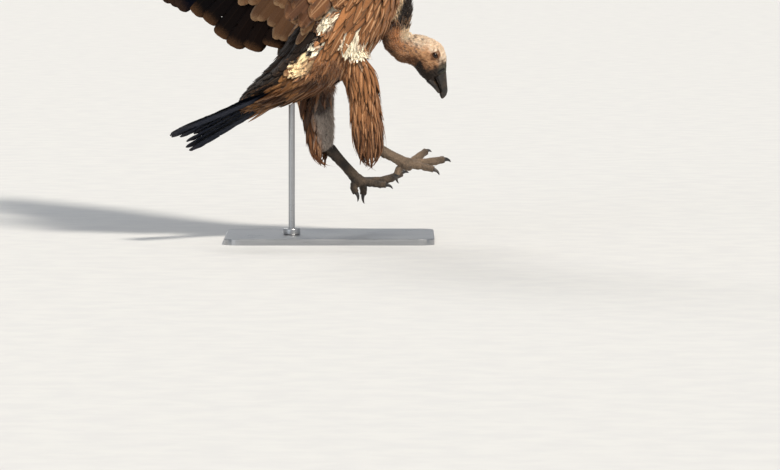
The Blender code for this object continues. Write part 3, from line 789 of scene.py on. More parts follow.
def colour_skin(thing, skin, gain):
    """Tints a skin as its coat, times a gain of each point."""
    tint = body_colour(skin.points, skin.tract)[0] * gain[:, None]
    set_colour(thing.data, "tint", tint)
    shade(thing, skin_material())


# head ----------------------------------------

# places of the head, y counted from its middle plane
NOSTRIL = ((0.2100, 0.0150, 0.3205), (0.2150, 0.0138, 0.3235), (0.2195, 0.0108, 0.3262))
GAPE = ((0.2040, 0.0150, 0.3150), (0.1960, 0.0210, 0.3240), (0.1880, 0.0230, 0.3330))
CHEEK_FOLD = ((0.1900, 0.0210, 0.3420), (0.1840, 0.0240, 0.3400), (0.1760, 0.0250, 0.3440))
HEAD_GROOVES = ((NOSTRIL, 0.0016, 0.0020), (GAPE, 0.0013, 0.0012),
                (CHEEK_FOLD, 0.0015, 0.0009))
BILL_ROOTS = (((0.2102, 0, 0.3210), (0.0128, 0.0160, 0.0130)),
              ((0.1962, 0, 0.3078), (0.0086, 0.0136, 0.0086)))
HEAD_BUMPS = (
    ((0.2090, 0.0130, 0.3520), (0.006, 0.006, 0.005), 0.0013),      # brow before the eye
    ((0.1990, 0.0210, 0.3655), (0.009, 0.006, 0.004), 0.0014),      # brow over the eye
    ((0.1720, 0.0265, 0.3500), (0.0028, 0.005, 0.0038), -0.0026),   # ear opening
    ((0.1685, 0.0270, 0.3490), (0.0030, 0.005, 0.0060), 0.0010),    # rim behind the ear
    ((0.1830, 0.0240, 0.3280), (0.010, 0.008, 0.007), 0.0010),      # cheek
)


def beside(places, side):
    """Places of the head on its left or right side, from places beside its middle plane."""
    return np.asarray(places, float) * (1, side, 1) + (0, HEAD_Y, 0)


def eye_centre(side):
    """Middle of an eyeball."""
    return beside(EYE, side)


def eye_way(side):
    """The way an eye looks out."""
    return unit(np.array((0.16, side * 1.0, 0.10)))


def lid_points(side, radius):
    """Rings of an eyelid band on a ball, from its almond opening outwards."""
    centre = eye_centre(side)
    out = eye_way(side)
    to_bill = np.array((0.62, 0, -0.78))
    fore = unit(to_bill - out * np.dot(to_bill, out))
    high = np.cross(out, fore) * -side
    rings = []
    for f in (0.0, 0.12, 0.4, 0.8):
        ring = []
        for k in range(LID_POINTS):
            t = 2 * math.pi * k / LID_POINTS
            gap = 38 + 7 * math.cos(2 * t) - 8 * max(0.0, math.sin(t))
            a = math.radians(gap + (104 - gap) * f)
            way = fore * math.cos(t) + high * math.sin(t)
            ring.append(centre + (out * math.cos(a) + way * math.sin(a)) * radius)
        rings.append(ring)
    return rings


def add_lid(bm, side):
    """A thick lid band round the eye, open in the middle."""
    outer = lid_points(side, EYE_R + LID)
    inner = lid_points(side, EYE_R + 0.0002)
    net = [[bm.verts.new(p) for p in ring] for ring in outer + inner[::-1]]
    for a, b in zip(net, net[1:] + net[:1]):
        for k in range(LID_POINTS):
            m = (k + 1) % LID_POINTS
            bm.faces.new((a[k], a[m], b[m], b[k]))


def groove(p, line, width, depth):
    """Push along the normal that cuts a crease along a line."""
    d = gap_to(fine_line(line, 40)[0], p)
    return -depth * np.exp(-(d / width) ** 2)


def bump_at(p, at, size, height):
    """Push along the normal that raises a rounded form."""
    d2 = ((p - at) ** 2 / np.asarray(size) ** 2).sum(1)
    return height * np.exp(-d2)


def head_relief(p):
    """Folds, pits and ridges of the head and neck, as pushes along the normal."""
    out = np.zeros(len(p))
    for side in SIDES.values():
        for line, width, depth in HEAD_GROOVES:
            out += groove(p, beside(line, side), width, depth)
        for at, size, height in HEAD_BUMPS:
            out += bump_at(p, beside(at, side), size, height)
    run, high = neck_place(p)
    out -= 0.0040 * ramp(high, 0.012, 0.022) * ramp(run, 0.15, 0.21) * ramp(run, 0.40, 0.34)
    out += 0.0040 * ramp(high, -0.006, -0.018) * ramp(run, 0.27, 0.35) * ramp(run, 0.56, 0.50)
    fold = np.sin(run * 150 + 2.2 * cloud(p, 0.030, 5))
    out += 0.00075 * fold * ramp(run, 0.34, 0.44) * (0.5 + 0.5 * cloud(p, 0.05, 9))
    fine = np.sin(run * 330 + 3.0 * cloud(p, 0.016, 15))
    out += 0.00022 * fine * ramp(run, 0.12, 0.3)
    out += 0.00030 * cloud(p, 0.006, 21) + 0.00045 * cloud(p, 0.014, 22)
    return out


def make_head_skin(settings):
    """Skin of the head and neck, with a tube that roots it in the ruff, and the lids."""
    bm = bmesh.new()
    gather(bm, ("neck", "head"), 0.0002)
    add_tube(bm, ((0.1268, 0.063, 0.400, 0.026, 0.025), (0.1268, 0.062, 0.425, 0.025, 0.024),
                  (0.1240, 0.058, 0.450, 0.024, 0.023), (0.1170, 0.052, 0.475, 0.022, 0.021)))
    for side in SIDES.values():
        add_lid(bm, side)
    for at, size in BILL_ROOTS:
        ball = bmesh.ops.create_uvsphere(bm, u_segments=24, v_segments=16, radius=1.0)["verts"]
        for v in ball:
            v.co = Vector(beside(at, 1) + np.array(v.co) * size)
    bmesh.ops.recalc_face_normals(bm, faces=bm.faces)
    thing = settle(bm, "head_skin", HEAD_VOXEL, 3)
    skin = Skin(thing.data)
    depth = coat_depth(skin.points, skin.tract, settings)[:, None]
    depth = soften(depth, skin.edges, 12)[:, 0]
    keep = np.ones(len(skin.points))
    for side in SIDES.values():
        far = np.linalg.norm(skin.points - eye_centre(side), axis=1)
        keep *= ramp(far, EYE_R + LID + 0.0002, EYE_R + 0.0050)
    push = (head_relief(skin.points) - depth) * keep
    skin.points = skin.points + skin.normals * push[:, None]
    put_verts(thing.data, skin.points)
    skin.prepare(thing.data, 3)
    return thing, skin


def make_skin(settings):
    """The skin as one piece: the body's, thinned, with the finer head and neck."""
    body, SKIN["body"] = make_body_skin(settings)
    head, SKIN["head"] = make_head_skin(settings)
    colour_skin(body, SKIN["body"], 0.55 + 0.45 * bare_patch(SKIN["body"].points))
    colour_skin(head, SKIN["head"], np.ones(len(SKIN["head"].points)))
    pick(body)
    thin = body.modifiers.new("thin", "DECIMATE")
    thin.ratio = SKIN_KEPT
    bpy.ops.object.modifier_apply(modifier="thin")
    pick(head, body)
    bpy.ops.object.join()
    body.data.attributes.active_color_name = "tint"
    done(body, "down", *TRACT)


# markings, shared by the skin and the coat --------

def neck_place(p):
    """Share back along head and neck, and height towards crown and nape."""
    i = nearest_on(NECK_FINE, p)
    up = unit(np.cross((0, 1, 0), NECK_WAY[i]))
    return i / (len(NECK_FINE) - 1), ((p - NECK_FINE[i]) * up).sum(1)


def face_colour(p):
    """Cream crown, tan side, and a face that darkens to the lores and chin."""
    paint = palette()
    run, high = neck_place(p)
    h = high + cloud(p, 0.024, 31) * 0.003
    tint = mix(paint.head_tan, paint.head_cream, ramp(h, 0.002, 0.014))
    low = ramp(h, -0.006, -0.018) * ramp(run, 0.40, 0.30)
    tint = mix(tint, JAW_SHADE, low)
    mottle = cloud(p, 0.010, 34)
    spread = 0.45 * ramp(mottle, -0.1, 0.8) * ramp(h, 0.022, 0.004)
    tint = mix(tint, CHEEK_MOTTLE, spread)
    lores = ramp(run + 0.02 * mottle, 0.135, 0.060)
    lores = np.maximum(lores, ramp(run, 0.30, 0.14) * ramp(h, 0.006, -0.010))
    tint = mix(tint, LORE, lores * 0.85)
    chin = ramp(h + 0.003 * mottle, -0.009, -0.019) * ramp(run, 0.29, 0.15)
    dark = np.maximum(ramp(run + 0.012 * mottle, 0.100, 0.040), chin)
    tint = mix(tint, paint.face_dark * 0.6, dark)
    bridge = ramp(run, 0.095, 0.045) * ramp(h, 0.002, 0.012)
    tint = mix(tint, BRIDGE, bridge * 0.7)
    nape = ramp(run, 0.30, 0.40)
    # the neck darkens to its underside as painted shade, then warms to tan and cream towards the
    # nape
    throat = mix(THROAT_PAINTED_SHADE, THROAT_TAN, ramp(h, -0.023, -0.013))
    throat = mix(throat, NECK_SIDE, ramp(h, -0.010, 0.004))
    throat = mix(throat, NAPE_CREAM, ramp(h, 0.002, 0.014))
    tint = mix(tint, throat, nape * 0.85)
    collar = mix(COLLAR_RUST, paint.umber * 0.6, ramp(h, 0.000, 0.010))
    tint = mix(tint, collar, ramp(run, 0.48, 0.54) * 0.95)
    speck = ramp(cloud(p, 0.0060, 33), 0.12, 0.62) * ramp(run, 0.20, 0.26) * ramp(run, 0.40, 0.34)
    speck = speck * ramp(h, -0.014, -0.006)
    tint = mix(tint, SPECKLE, speck * 0.75)
    for side in SIDES.values():
        # the nostril slit is darkened to near black: painted shade inside the opening
        slit = fine_line(beside(NOSTRIL, side), 20)[0]
        tint = mix(tint, NOSTRIL_PAINTED_SHADE, ramp(gap_to(slit, p), 0.0036, 0.0027))
        far = np.linalg.norm(p - eye_centre(side), axis=1)
        ring = ramp(far + 0.002 * mottle, EYE_R + 0.0055, EYE_R + 0.0008)
        tint = mix(tint, EYE_RING, ring)
    return tint


def mirrored(p):
    """Places on the right side that match those on the left."""
    left = (p - SPINE_LINE[nearest_on(SPINE_LINE, p)]) @ LEFT
    return p - 2 * np.maximum(left, 0)[:, None] * LEFT


# oval markings of the flank and vent: x and z of the middle, half length, half width,
# turn in degrees and kind; the kind shade is no marking of the plumage but painted shade,
# in the hollow between wing and rump and over the dark rump at the root of the tail
MARKINGS = (
    (0.046, 0.378, 0.025, 0.013, -30, "white"),
    (0.004, 0.428, 0.020, 0.009, 52, "white"),
    (-0.012, 0.460, 0.008, 0.009, 60, "white"),
    (-0.021, 0.380, 0.006, 0.013, 0, "white"),
    (-0.050, 0.339, 0.016, 0.014, 30, "cream"),
    # painted shade over the dark rump, along the root of the tail
    (-0.128, 0.303, 0.062, 0.013, 33, "shade"),
    (-0.090, 0.292, 0.046, 0.013, 33, "ochre"),
    # rusty rows below the vent and on the belly: rusty brown deepened as painted shade
    (-0.128, 0.262, 0.050, 0.013, 20, "rust_and_shade"),
    (-0.026, 0.294, 0.046, 0.024, 15, "rust_and_shade"),
    (-0.004, 0.335, 0.030, 0.022, 20, "knob"),
    # painted shade in the hollow between the wing and the rump, in two rows
    (-0.052, 0.387, 0.032, 0.036, 20, "shade"),
    (-0.070, 0.436, 0.010, 0.028, 0, "shade"),
)
MARKING_SHARES = {"knob": 0.35, "ochre": 0.7, "rust_and_shade": 0.85}
OCHRE = srgb(98, 61, 27)
# rusty brown below the vent and on the belly, deepened as painted shade of the underside
RUST_AND_SHADE = srgb(60, 32, 14)


def inner_leg(p):
    """Share of short grey down, on the side of each leg that faces the other."""
    inward, fore = leg_place(p)
    return ramp(inward + 0.45 * fore, 0.10, 0.45) * ramp(leg_share(p), 0.12, 0.30)


def marking_mask(p, marking):
    """Share of one marking at each place, its edge broken up."""
    x, z, long, short, turn, kind = marking
    a = math.radians(turn)
    q = mirrored(p)
    dx, dz = q[:, 0] - x, q[:, 2] - z
    u = (dx * math.cos(a) + dz * math.sin(a)) / long
    v = (-dx * math.sin(a) + dz * math.cos(a)) / short
    d = np.sqrt(u * u + v * v) + 0.22 * cloud(p, 0.022, 77)
    mask = ramp(d, 1.15, 0.75)
    # painted shade is held neither to the sides nor below the back, so that it spans the back
    if kind != "shade":
        _, left, up, _ = body_place(p)
        mask = mask * ramp(up, 0.045, 0.020) * ramp(np.abs(left), 0.012, 0.028)
    return mask


def marked(p, *kinds):
    """Share of the markings of some kinds at each place."""
    return np.max([marking_mask(p, row) for row in MARKINGS if row[-1] in kinds], axis=0)


def bare_patch(p):
    """Where loose down shows instead of contour feathers."""
    return marked(p, "white", "cream")


def body_colour(p, tract):
    """Tint, pale tint and marks (streak width, fringe, shaft) of the plumage."""
    paint = palette()
    share, _, up, _ = body_place(p)
    wander = cloud(p, 0.09, 41)
    tint = mix(paint.brown, paint.dark_brown, np.clip(0.38 + 0.28 * wander, 0, 1))
    back = ramp(up, 0.005, 0.045)
    tint = mix(tint, mix(paint.dark_brown, paint.covert, 0.45), back * 0.8)
    pale = mix(paint.streak, paint.covert_edge, back)
    mark = np.stack([0.19 - 0.10 * back, 0.12 + 0.70 * back, 0.7 + 0 * back], 1)
    # dark rump: the immature's own dark brown, deepened further as painted shade below the wing
    rump = ramp(share, 0.68, 0.50) * ramp(up, 0.008, 0.035)
    tint = mix(tint, paint.umber, rump * 0.85)
    pale = mix(pale, paint.brown * 0.7, rump * 0.9)
    # near-black upper tail coverts at the tail's root, with a blue cast of painted sky reflection
    dark = ramp(share, 0.36, 0.26) * ramp(up, 0.000, 0.016)
    tint = mix(tint, paint.flight_black_sky_reflection * 1.3, dark * 0.9)
    pale = mix(pale, paint.umber, dark)
    vent = ramp(share, 0.40, 0.22) * (1 - back)
    patchy = ramp(cloud(p, 0.035, 47), -0.35, 0.45)
    tint = mix(tint, mix(VENT_OCHRE, paint.umber * 0.8, patchy), vent * 0.85)
    # darker towards the underside of the vent: rusty brown, deepened as painted shade
    tint = mix(tint, VENT_RUST_AND_SHADE, vent * ramp(up, -0.020, -0.045) * 0.8)
    pale = mix(pale, VENT_STREAK, vent * 0.85)
    breast = ramp(share, 0.80, 0.95) * (1 - back)
    tint = mix(tint, paint.rusty * 0.8, breast * 0.4)
    thigh = tract == THIGH
    deep = np.clip(ramp(leg_share(p), 0.0, 0.9) * 0.8 + 0.3 * wander, 0, 1)
    trousers = mix(paint.brown * 0.85, paint.dark_brown, deep)
    # painted light: the left leg's trousers are lightened, against the shadow that leg lies in
    trousers = trousers * (1 + 0.30 * thigh_side(p)[:, None])
    tint = np.where(thigh[:, None], trousers, tint)
    pale = np.where(thigh[:, None], mix(paint.streak, THIGH_STREAK, 0.6), pale)
    mark[thigh] = (0.17, 0.0, 0.7)
    inner = thigh * inner_leg(p)
    tint = mix(tint, paint.grey_down, inner)
    mark[:, 0] *= 1 - inner
    # the kind shade gets umber much darkened: painted shade
    aims = {"white": paint.white, "cream": paint.cream, "knob": paint.brown,
            "shade": paint.umber * 0.4, "ochre": OCHRE, "rust_and_shade": RUST_AND_SHADE}
    for row in MARKINGS:
        kind = row[-1]
        mask = marking_mask(p, row) * MARKING_SHARES.get(kind, 1.0) * (tract != WING)
        tint = mix(tint, aims[kind], mask)
        pale = mix(pale, aims[kind], mask)
    ruff = tract == RUFF
    tone = ruff_colour(p[ruff])
    tint[ruff] = tone
    pale[ruff] = tone * 1.2
    mark[ruff] = (0.15, 0.0, 0.2)
    bare = (tract == NECK) | (tract == HEAD)
    tint[bare] = face_colour(p[bare])
    return tint, pale, mark


def ruff_colour(p):
    """Rusty at the shoulder, then a cream strip, then a dark front edge."""
    paint = palette()
    height = p[:, 2]
    band = p[:, 0] - 0.128 - 0.25 * (height - 0.445) + cloud(p, 0.03, 43) * 0.002
    strip = ramp(band, -0.015, -0.008) * ramp(height, 0.414, 0.426)
    tone = mix(paint.rusty * 0.45, RUFF_CREAM_PAINTED_LIGHT, strip)
    return mix(tone, paint.umber * 0.5, ramp(band, 0.003, 0.009))


# materials -----------------------------------

class Shop:
    """Adds and joins nodes of one tree."""

    def __init__(self, tree):
        self.tree = tree

    def feed(self, node, values):
        """Links sockets to a node's inputs and sets its plain values."""
        for key, value in dict(values).items():
            if hasattr(value, "is_output"):
                self.tree.links.new(value, node.inputs[key])
            else:
                node.inputs[key].default_value = value

    def node(self, kind, values=(), **settings):
        """A new node with its settings made and its inputs fed."""
        made = self.tree.nodes.new(kind)
        for key, value in settings.items():
            setattr(made, key, value)
        self.feed(made, values)
        return made

    def math(self, what, a, b=0.0, c=0.0, clamp=False):
        """One sum of numbers or sockets."""
        made = self.node("ShaderNodeMath", enumerate((a, b, c)), operation=what,
                         use_clamp=clamp)
        return made.outputs[0]

    def range(self, value, a, b, c=0.0, d=1.0):
        """Smooth change from c at a to d at b."""
        made = self.node("ShaderNodeMapRange", enumerate((value, a, b, c, d)),
                         interpolation_type="SMOOTHSTEP")
        return made.outputs[0]

    def blend(self, share, a, b, how="MIX"):
        """Colour b laid over colour a by a share."""
        a, b = (x if hasattr(x, "is_output") else (*x, 1) for x in (a, b))
        made = self.node("ShaderNodeMix", {0: share, 6: a, 7: b}, data_type="RGBA",
                         blend_type=how)
        return made.outputs[2]

    def dim(self, colour, tone):
        """A colour multiplied by a tone."""
        grey = self.node("ShaderNodeCombineColor", {0: tone, 1: tone, 2: tone}).outputs[0]
        return self.blend(1.0, colour, grey, "MULTIPLY")

    def bump(self, height, strength, distance):
        """A normal tilted by small relief."""
        return self.node("ShaderNodeBump", {"Height": height, "Strength": strength,
                                            "Distance": distance}).outputs[0]

    def place(self):
        """Object coordinates."""
        return self.node("ShaderNodeTexCoord").outputs["Object"]

    def noise(self, scale, detail, stretch=None):
        """Cloudy values over the object, drawn out by stretch."""
        vector = self.place()
        if stretch is not None:
            shift = self.node("ShaderNodeMapping", {"Vector": vector, "Scale": stretch})
            vector = shift.outputs[0]
        made = self.node("ShaderNodeTexNoise", {"Vector": vector, "Scale": scale,
                                                "Detail": detail, "Roughness": 0.55})
        return made.outputs[0]

    def attribute(self, name):
        """Colour that the mesh carries under a name."""
        return self.node("ShaderNodeAttribute", attribute_name=name).outputs[0]

    def finish(self, colour, rough, normal=None, **values):
        """Feeds the surface; other inputs are named with _ for a space."""
        surface = self.tree.nodes["Principled BSDF"]
        self.feed(surface, {"Base Color": colour, "Roughness": rough})
        if normal is not None:
            self.feed(surface, {"Normal": normal})
        self.feed(surface, {key.replace("_", " "): value for key, value in values.items()})


def new_material(name):
    """An empty material and the shop of its nodes."""
    made = bpy.data.materials.new(name)
    made.use_nodes = True
    return made, Shop(made.node_tree)


def group_tree(name, inputs, outputs):
    """An empty node group with named sockets, and the shop of its nodes."""
    tree = bpy.data.node_groups.new(name, "ShaderNodeTree")
    for label, default in inputs.items():
        socket = tree.interface.new_socket(label, in_out="INPUT", socket_type="NodeSocketFloat")
        socket.default_value = default
    for label, kind in outputs.items():
        tree.interface.new_socket(label, in_out="OUTPUT", socket_type=kind)
    return tree, Shop(tree)


VANE_INPUTS = {"Barbs": 40.0, "Shaft": 0.05, "Depth": 0.4, "Base Shade": 0.5,
               "Side Fringe": 1.0}
VANE_OUTPUTS = {"Color": "NodeSocketColor", "Roughness": "NodeSocketFloat",
                "Height": "NodeSocketFloat"}


def vane_group():
    """Barbs, shaft, streak and fringe of a feather, laid along its own map."""
    if "vane" in bpy.data.node_groups:
        return bpy.data.node_groups["vane"]
    tree, shop = group_tree("vane", VANE_INPUTS, VANE_OUTPUTS)
    given = shop.node("NodeGroupInput").outputs
    uv = shop.node("ShaderNodeUVMap", uv_map="Vane").outputs[0]
    split = shop.node("ShaderNodeSeparateXYZ", {0: uv}).outputs
    u = shop.math("ABSOLUTE", shop.math("MULTIPLY_ADD", split[0], 2.0, -1.0))
    v = split[1]
    wander = shop.noise(60.0, 3.0)
    fine = shop.noise(420.0, 2.0)
    slant = shop.math("MULTIPLY_ADD", u, -0.55, v)
    slant = shop.math("MULTIPLY_ADD", wander, 0.10, slant)
    turns = shop.math("MULTIPLY", given["Barbs"], 6.283)
    wave = shop.math("SINE", shop.math("MULTIPLY", slant, turns))
    barb = shop.math("MULTIPLY_ADD", wave, 0.5, 0.5)
    marks = shop.node("ShaderNodeSeparateColor", {0: shop.attribute("mark")}).outputs
    tint, pale = shop.attribute("tint"), shop.attribute("pale")
    reach = shop.math("MULTIPLY", marks[0], shop.math("MULTIPLY_ADD", v, -0.45, 1.15))
    reach = shop.math("MULTIPLY", reach, shop.math("MULTIPLY_ADD", wander, 1.0, 0.5))
    streak = shop.range(shop.math("SUBTRACT", reach, u), -0.10, 0.10)
    streak = shop.math("MULTIPLY", streak, shop.range(marks[0], 0.02, 0.10))
    tip = shop.math("POWER", v, 3.0)
    rim = shop.math("MAXIMUM", shop.math("MULTIPLY", u, given["Side Fringe"]), tip)
    rim = shop.math("MULTIPLY_ADD", shop.math("SUBTRACT", fine, 0.5), 0.25, rim)
    fringe = shop.math("MULTIPLY", shop.range(rim, 0.66, 0.95), marks[1])
    shaft = shop.math("MULTIPLY", shop.range(u, given["Shaft"], 0.0), marks[2])
    colour = shop.blend(streak, tint, pale)
    colour = shop.blend(fringe, colour, pale)
    colour = shop.blend(shaft, colour, shop.blend(0.5, pale, SHAFT_HORN))
    tone = shop.math("MULTIPLY_ADD", fine, 0.8, shop.math("MULTIPLY", barb, 0.35))
    tone = shop.range(tone, 0.2, 1.0, 0.72, 1.16)
    # darker towards the root by Base Shade: partly a feather's grey downy base, partly painted
    # shadow where feathers overlap
    root = shop.range(v, 0.0, 0.34)
    dark = shop.math("MULTIPLY_ADD", shop.math("SUBTRACT", root, 1.0), given["Base Shade"], 1.0)
    rough = shop.math("MULTIPLY_ADD", wander, 0.25, 0.42)
    height = shop.math("MULTIPLY", barb, given["Depth"])
    height = shop.math("MULTIPLY_ADD", shop.range(u, 0.12, 0.0), 0.8, height)
    height = shop.math("MULTIPLY_ADD", fine, 0.3, height)
    shop.node("NodeGroupOutput", {"Color": shop.dim(colour, shop.math("MULTIPLY", tone, dark)),
                                  "Roughness": rough, "Height": height})
    return tree


# values of the vane group, then added roughness, sheen and gloss of each kind of feather
FEATHERS = {
    "plumage_vane": ((26.0, 0.06, 0.5, 0.5, 1.0), 0.10, 0.08, 0.18),
    "covert_vane": ((44.0, 0.05, 0.45, 0.4, 1.0), 0.08, 0.08, 0.18),
    "tertial_vane": ((90.0, 0.04, 0.4, 0.2, 0.6), 0.08, 0.0, 0.08),
    "flight_vane": ((150.0, 0.035, 0.35, 0.1, 0.55), 0.02, 0.0, 0.04),
    "down_tuft": ((6.0, 0.02, 0.2, 0.35, 1.0), 0.20, 0.25, 0.18),
    "down_loose": ((6.0, 0.02, 0.2, 0.08, 1.0), 0.25, 0.3, 0.18),
}


def feather_material(name):
    """The material of one kind of feather, made when it is first asked for."""
    if name in bpy.data.materials:
        return bpy.data.materials[name]
    given, rough, sheen, gloss = FEATHERS[name]
    made, shop = new_material(name)
    vane = shop.node("ShaderNodeGroup", node_tree=vane_group())
    shop.feed(vane, zip(VANE_INPUTS, given))
    shop.finish(vane.outputs["Color"],
                shop.math("ADD", vane.outputs["Roughness"], rough, clamp=True),
                shop.bump(vane.outputs["Height"], 0.6, 0.0004),
                Sheen_Weight=sheen, Sheen_Roughness=0.5, Specular_IOR_Level=gloss)
    return made


def skin_material():
    """Matt skin with pores, tinted by place."""
    if "bird_skin" in bpy.data.materials:
        return bpy.data.materials["bird_skin"]
    made, shop = new_material("bird_skin")
    broad = shop.noise(55.0, 5.0)
    fine = shop.noise(900.0, 3.0)
    pore = shop.node("ShaderNodeTexVoronoi", {"Vector": shop.place(), "Scale": 620.0}).outputs[0]
    tone = shop.math("MULTIPLY_ADD", fine, 0.5, shop.math("MULTIPLY", broad, 0.8))
    tone = shop.range(tone, 0.35, 0.95, 0.62, 1.12)
    height = shop.math("MULTIPLY_ADD", pore, 0.5, fine)
    height = shop.math("MULTIPLY_ADD", broad, 0.8, height)
    shop.finish(shop.dim(shop.attribute("tint"), tone), shop.range(fine, 0.3, 0.7, 0.48, 0.70),
                shop.bump(height, 0.5, 0.0006), Specular_IOR_Level=0.3,
                Subsurface_Weight=0.08, Subsurface_Radius=(0.004, 0.002, 0.001))
    return made


def horn_material(name, tone, pale, rough):
    """Dark horn with worn, paler grain."""
    made, shop = new_material(name)
    broad = shop.noise(70.0, 5.0)
    grain = shop.noise(260.0, 4.0, stretch=(1.0, 1.0, 0.22))
    tint = shop.blend(shop.range(broad, 0.42, 0.72), tone, pale)
    tint = shop.blend(shop.range(grain, 0.45, 0.8, 0.0, 0.35), tint, pale)
    shop.finish(tint, shop.range(grain, 0.3, 0.8, rough, rough + 0.22),
                shop.bump(grain, 0.35, 0.0005), Coat_Weight=0.25, Coat_Roughness=0.25)
    return made


def eye_material():
    """Wet eye, its iris and pupil tinted by place."""
    made, shop = new_material("eye_wet")
    fleck = shop.noise(1600.0, 3.0)
    share = shop.range(fleck, 0.3, 0.75, 0.0, 0.6)
    shop.finish(shop.blend(share, shop.attribute("tint"), (0.004, 0.002, 0.001)),
                shop.range(fleck, 0.2, 0.8, 0.08, 0.16), Coat_Weight=1.0,
                Coat_Roughness=0.02, Coat_IOR=1.38, Specular_IOR_Level=0.0)
    return made


def leg_material():
    """Leg skin in small cells with dark seams."""
    made, shop = new_material("leg_scales")
    cells = shop.node("ShaderNodeTexVoronoi", {"Vector": shop.place(), "Scale": 330.0},
                      feature="DISTANCE_TO_EDGE").outputs[0]
    broad = shop.noise(50.0, 5.0)
    seam = shop.range(cells, 0.0, 0.16)
    tone = shop.math("MULTIPLY", shop.range(seam, 0.0, 1.0, 0.55, 1.0),
                     shop.range(broad, 0.3, 0.75, 0.7, 1.2))
    shop.finish(shop.dim(shop.attribute("tint"), tone), shop.range(broad, 0.3, 0.7, 0.5, 0.72),
                shop.bump(seam, 0.8, 0.0008))
    return made


def steel_material():
    """Steel brushed along its length, a little smudged."""
    made, shop = new_material("brushed_steel")
    brush = shop.noise(30.0, 6.0, stretch=(0.6, 14.0, 14.0))
    smudge = shop.noise(9.0, 4.0)
    rough = shop.math("MULTIPLY_ADD", smudge, 0.25, shop.range(brush, 0.3, 0.7, 0.16, 0.30))
    shop.finish(shop.blend(brush, (0.36, 0.37, 0.38), (0.52, 0.52, 0.53)), rough,
                shop.bump(brush, 0.15, 0.0002), Metallic=1.0)
    return made


def floor_material():
    """Pale, slightly speckled floor."""
    made, shop = new_material("pale_floor")
    speck = shop.range(shop.noise(14.0, 5.0), 0.3, 0.7)
    shop.finish(shop.blend(speck, (0.66, 0.66, 0.66), (0.70, 0.70, 0.69)), 0.8)
    return made


# coats ---------------------------------------

def unwrap(line, p):
    """Roots laid out by share along a line and turn round it."""
    i = nearest_on(line, p)
    way = unit(np.gradient(line, axis=0))[i]
    a = unit(np.cross(way, (0.31, 0.94, 0.12)))
    b = np.cross(way, a)
    off = p - line[i]
    turn = np.arctan2((off * b).sum(1), (off * a).sum(1)) / (2 * math.pi) + 0.5
    run = (i + ((p - line[i]) * way).sum(1) / np.linalg.norm(line[1] - line[0])) / len(line)
    return np.stack([0.01 + 0.98 * np.clip(run, 0, 1), 0.01 + 0.98 * turn], 1)


def scatter(skin, allowed, spacing, rng):
    """Indexes of skin points about a spacing apart, taken in a random order."""
    spacing = np.broadcast_to(spacing, len(skin.points))
    free = allowed.copy()
    chosen = []
    for i in rng.permutation(np.nonzero(allowed)[0]):
        if free[i]:
            chosen.append(i)
            for hit in skin.tree.find_range(skin.points[i], float(spacing[i])):
                free[hit[1]] = False
    return np.array(chosen, int)


# the form of a tuft of down
TUFT = {"peak": 0.1, "edge": 1.2, "power": 0.8, "ragged": 0.1, "cup": 0.0}


def plume(coat, net, skin, roots, length, width, rng, line, rise=0.005, gain=1.0,
          jitter=0.12, free=0.15, colours=None, spill=0.0, ahead=0.0, **form):
    """Feathers of one tract, rooted at points of the skin or up to spill beside them.

    Length and rise may be two bounds, between which each feather's is drawn. The colours
    are those of the place that the feather reaches at ahead of its length.
    """
    length, rise = (rng.uniform(*value, len(roots)) if isinstance(value, tuple) else value
                    for value in (length, rise))
    at = skin.points[roots]
    aside = rng.normal(0, spill, (len(roots), 3)) if spill else np.zeros_like(at)
    normal = skin.normals[roots]
    at = at + aside - normal * (aside * normal).sum(1)[:, None]
    way = skin.flow[roots] + rng.normal(0, jitter, (len(roots), 3))
    path, normals = trace(skin, at, unit(way), length, free)
    points = drape(net, path, normals, length, width, rise, rng, **form)
    legs = unit(np.diff(path, axis=1))
    smooth = (legs[:, 1:] * legs[:, :-1]).sum(2).min(1) > 0.6
    smooth &= (legs[:, 0] * legs[:, -1]).sum(1) > 0.2
    roots, at, path, points = roots[smooth], at[smooth], path[smooth], points[smooth]
    if colours:
        colours = [np.broadcast_to(c, (len(smooth), 3))[smooth] for c in colours]
    gain = np.broadcast_to(gain, len(smooth))[smooth]
    seen = path[:, int(path.shape[1] * ahead)]
    tint, pale, mark = colours or body_colour(seen, skin.tract[roots])
    shade_by = (gain * (1 + rng.normal(0, 0.14, len(roots)))).clip(0.4, 1.6)[:, None]
    bold = np.where(rng.random(len(roots)) < 0.5, rng.uniform(0.85, 1.35, len(roots)),
                    rng.uniform(0.10, 0.55, len(roots)))
    mark = mark * np.stack([bold, rng.uniform(0.6, 1.3, len(roots)), bold], 1)
    coat.add(net, points, tint * shade_by, pale * shade_by ** 0.5, mark,
             unwrap(line, at), TUFT_PATCH)


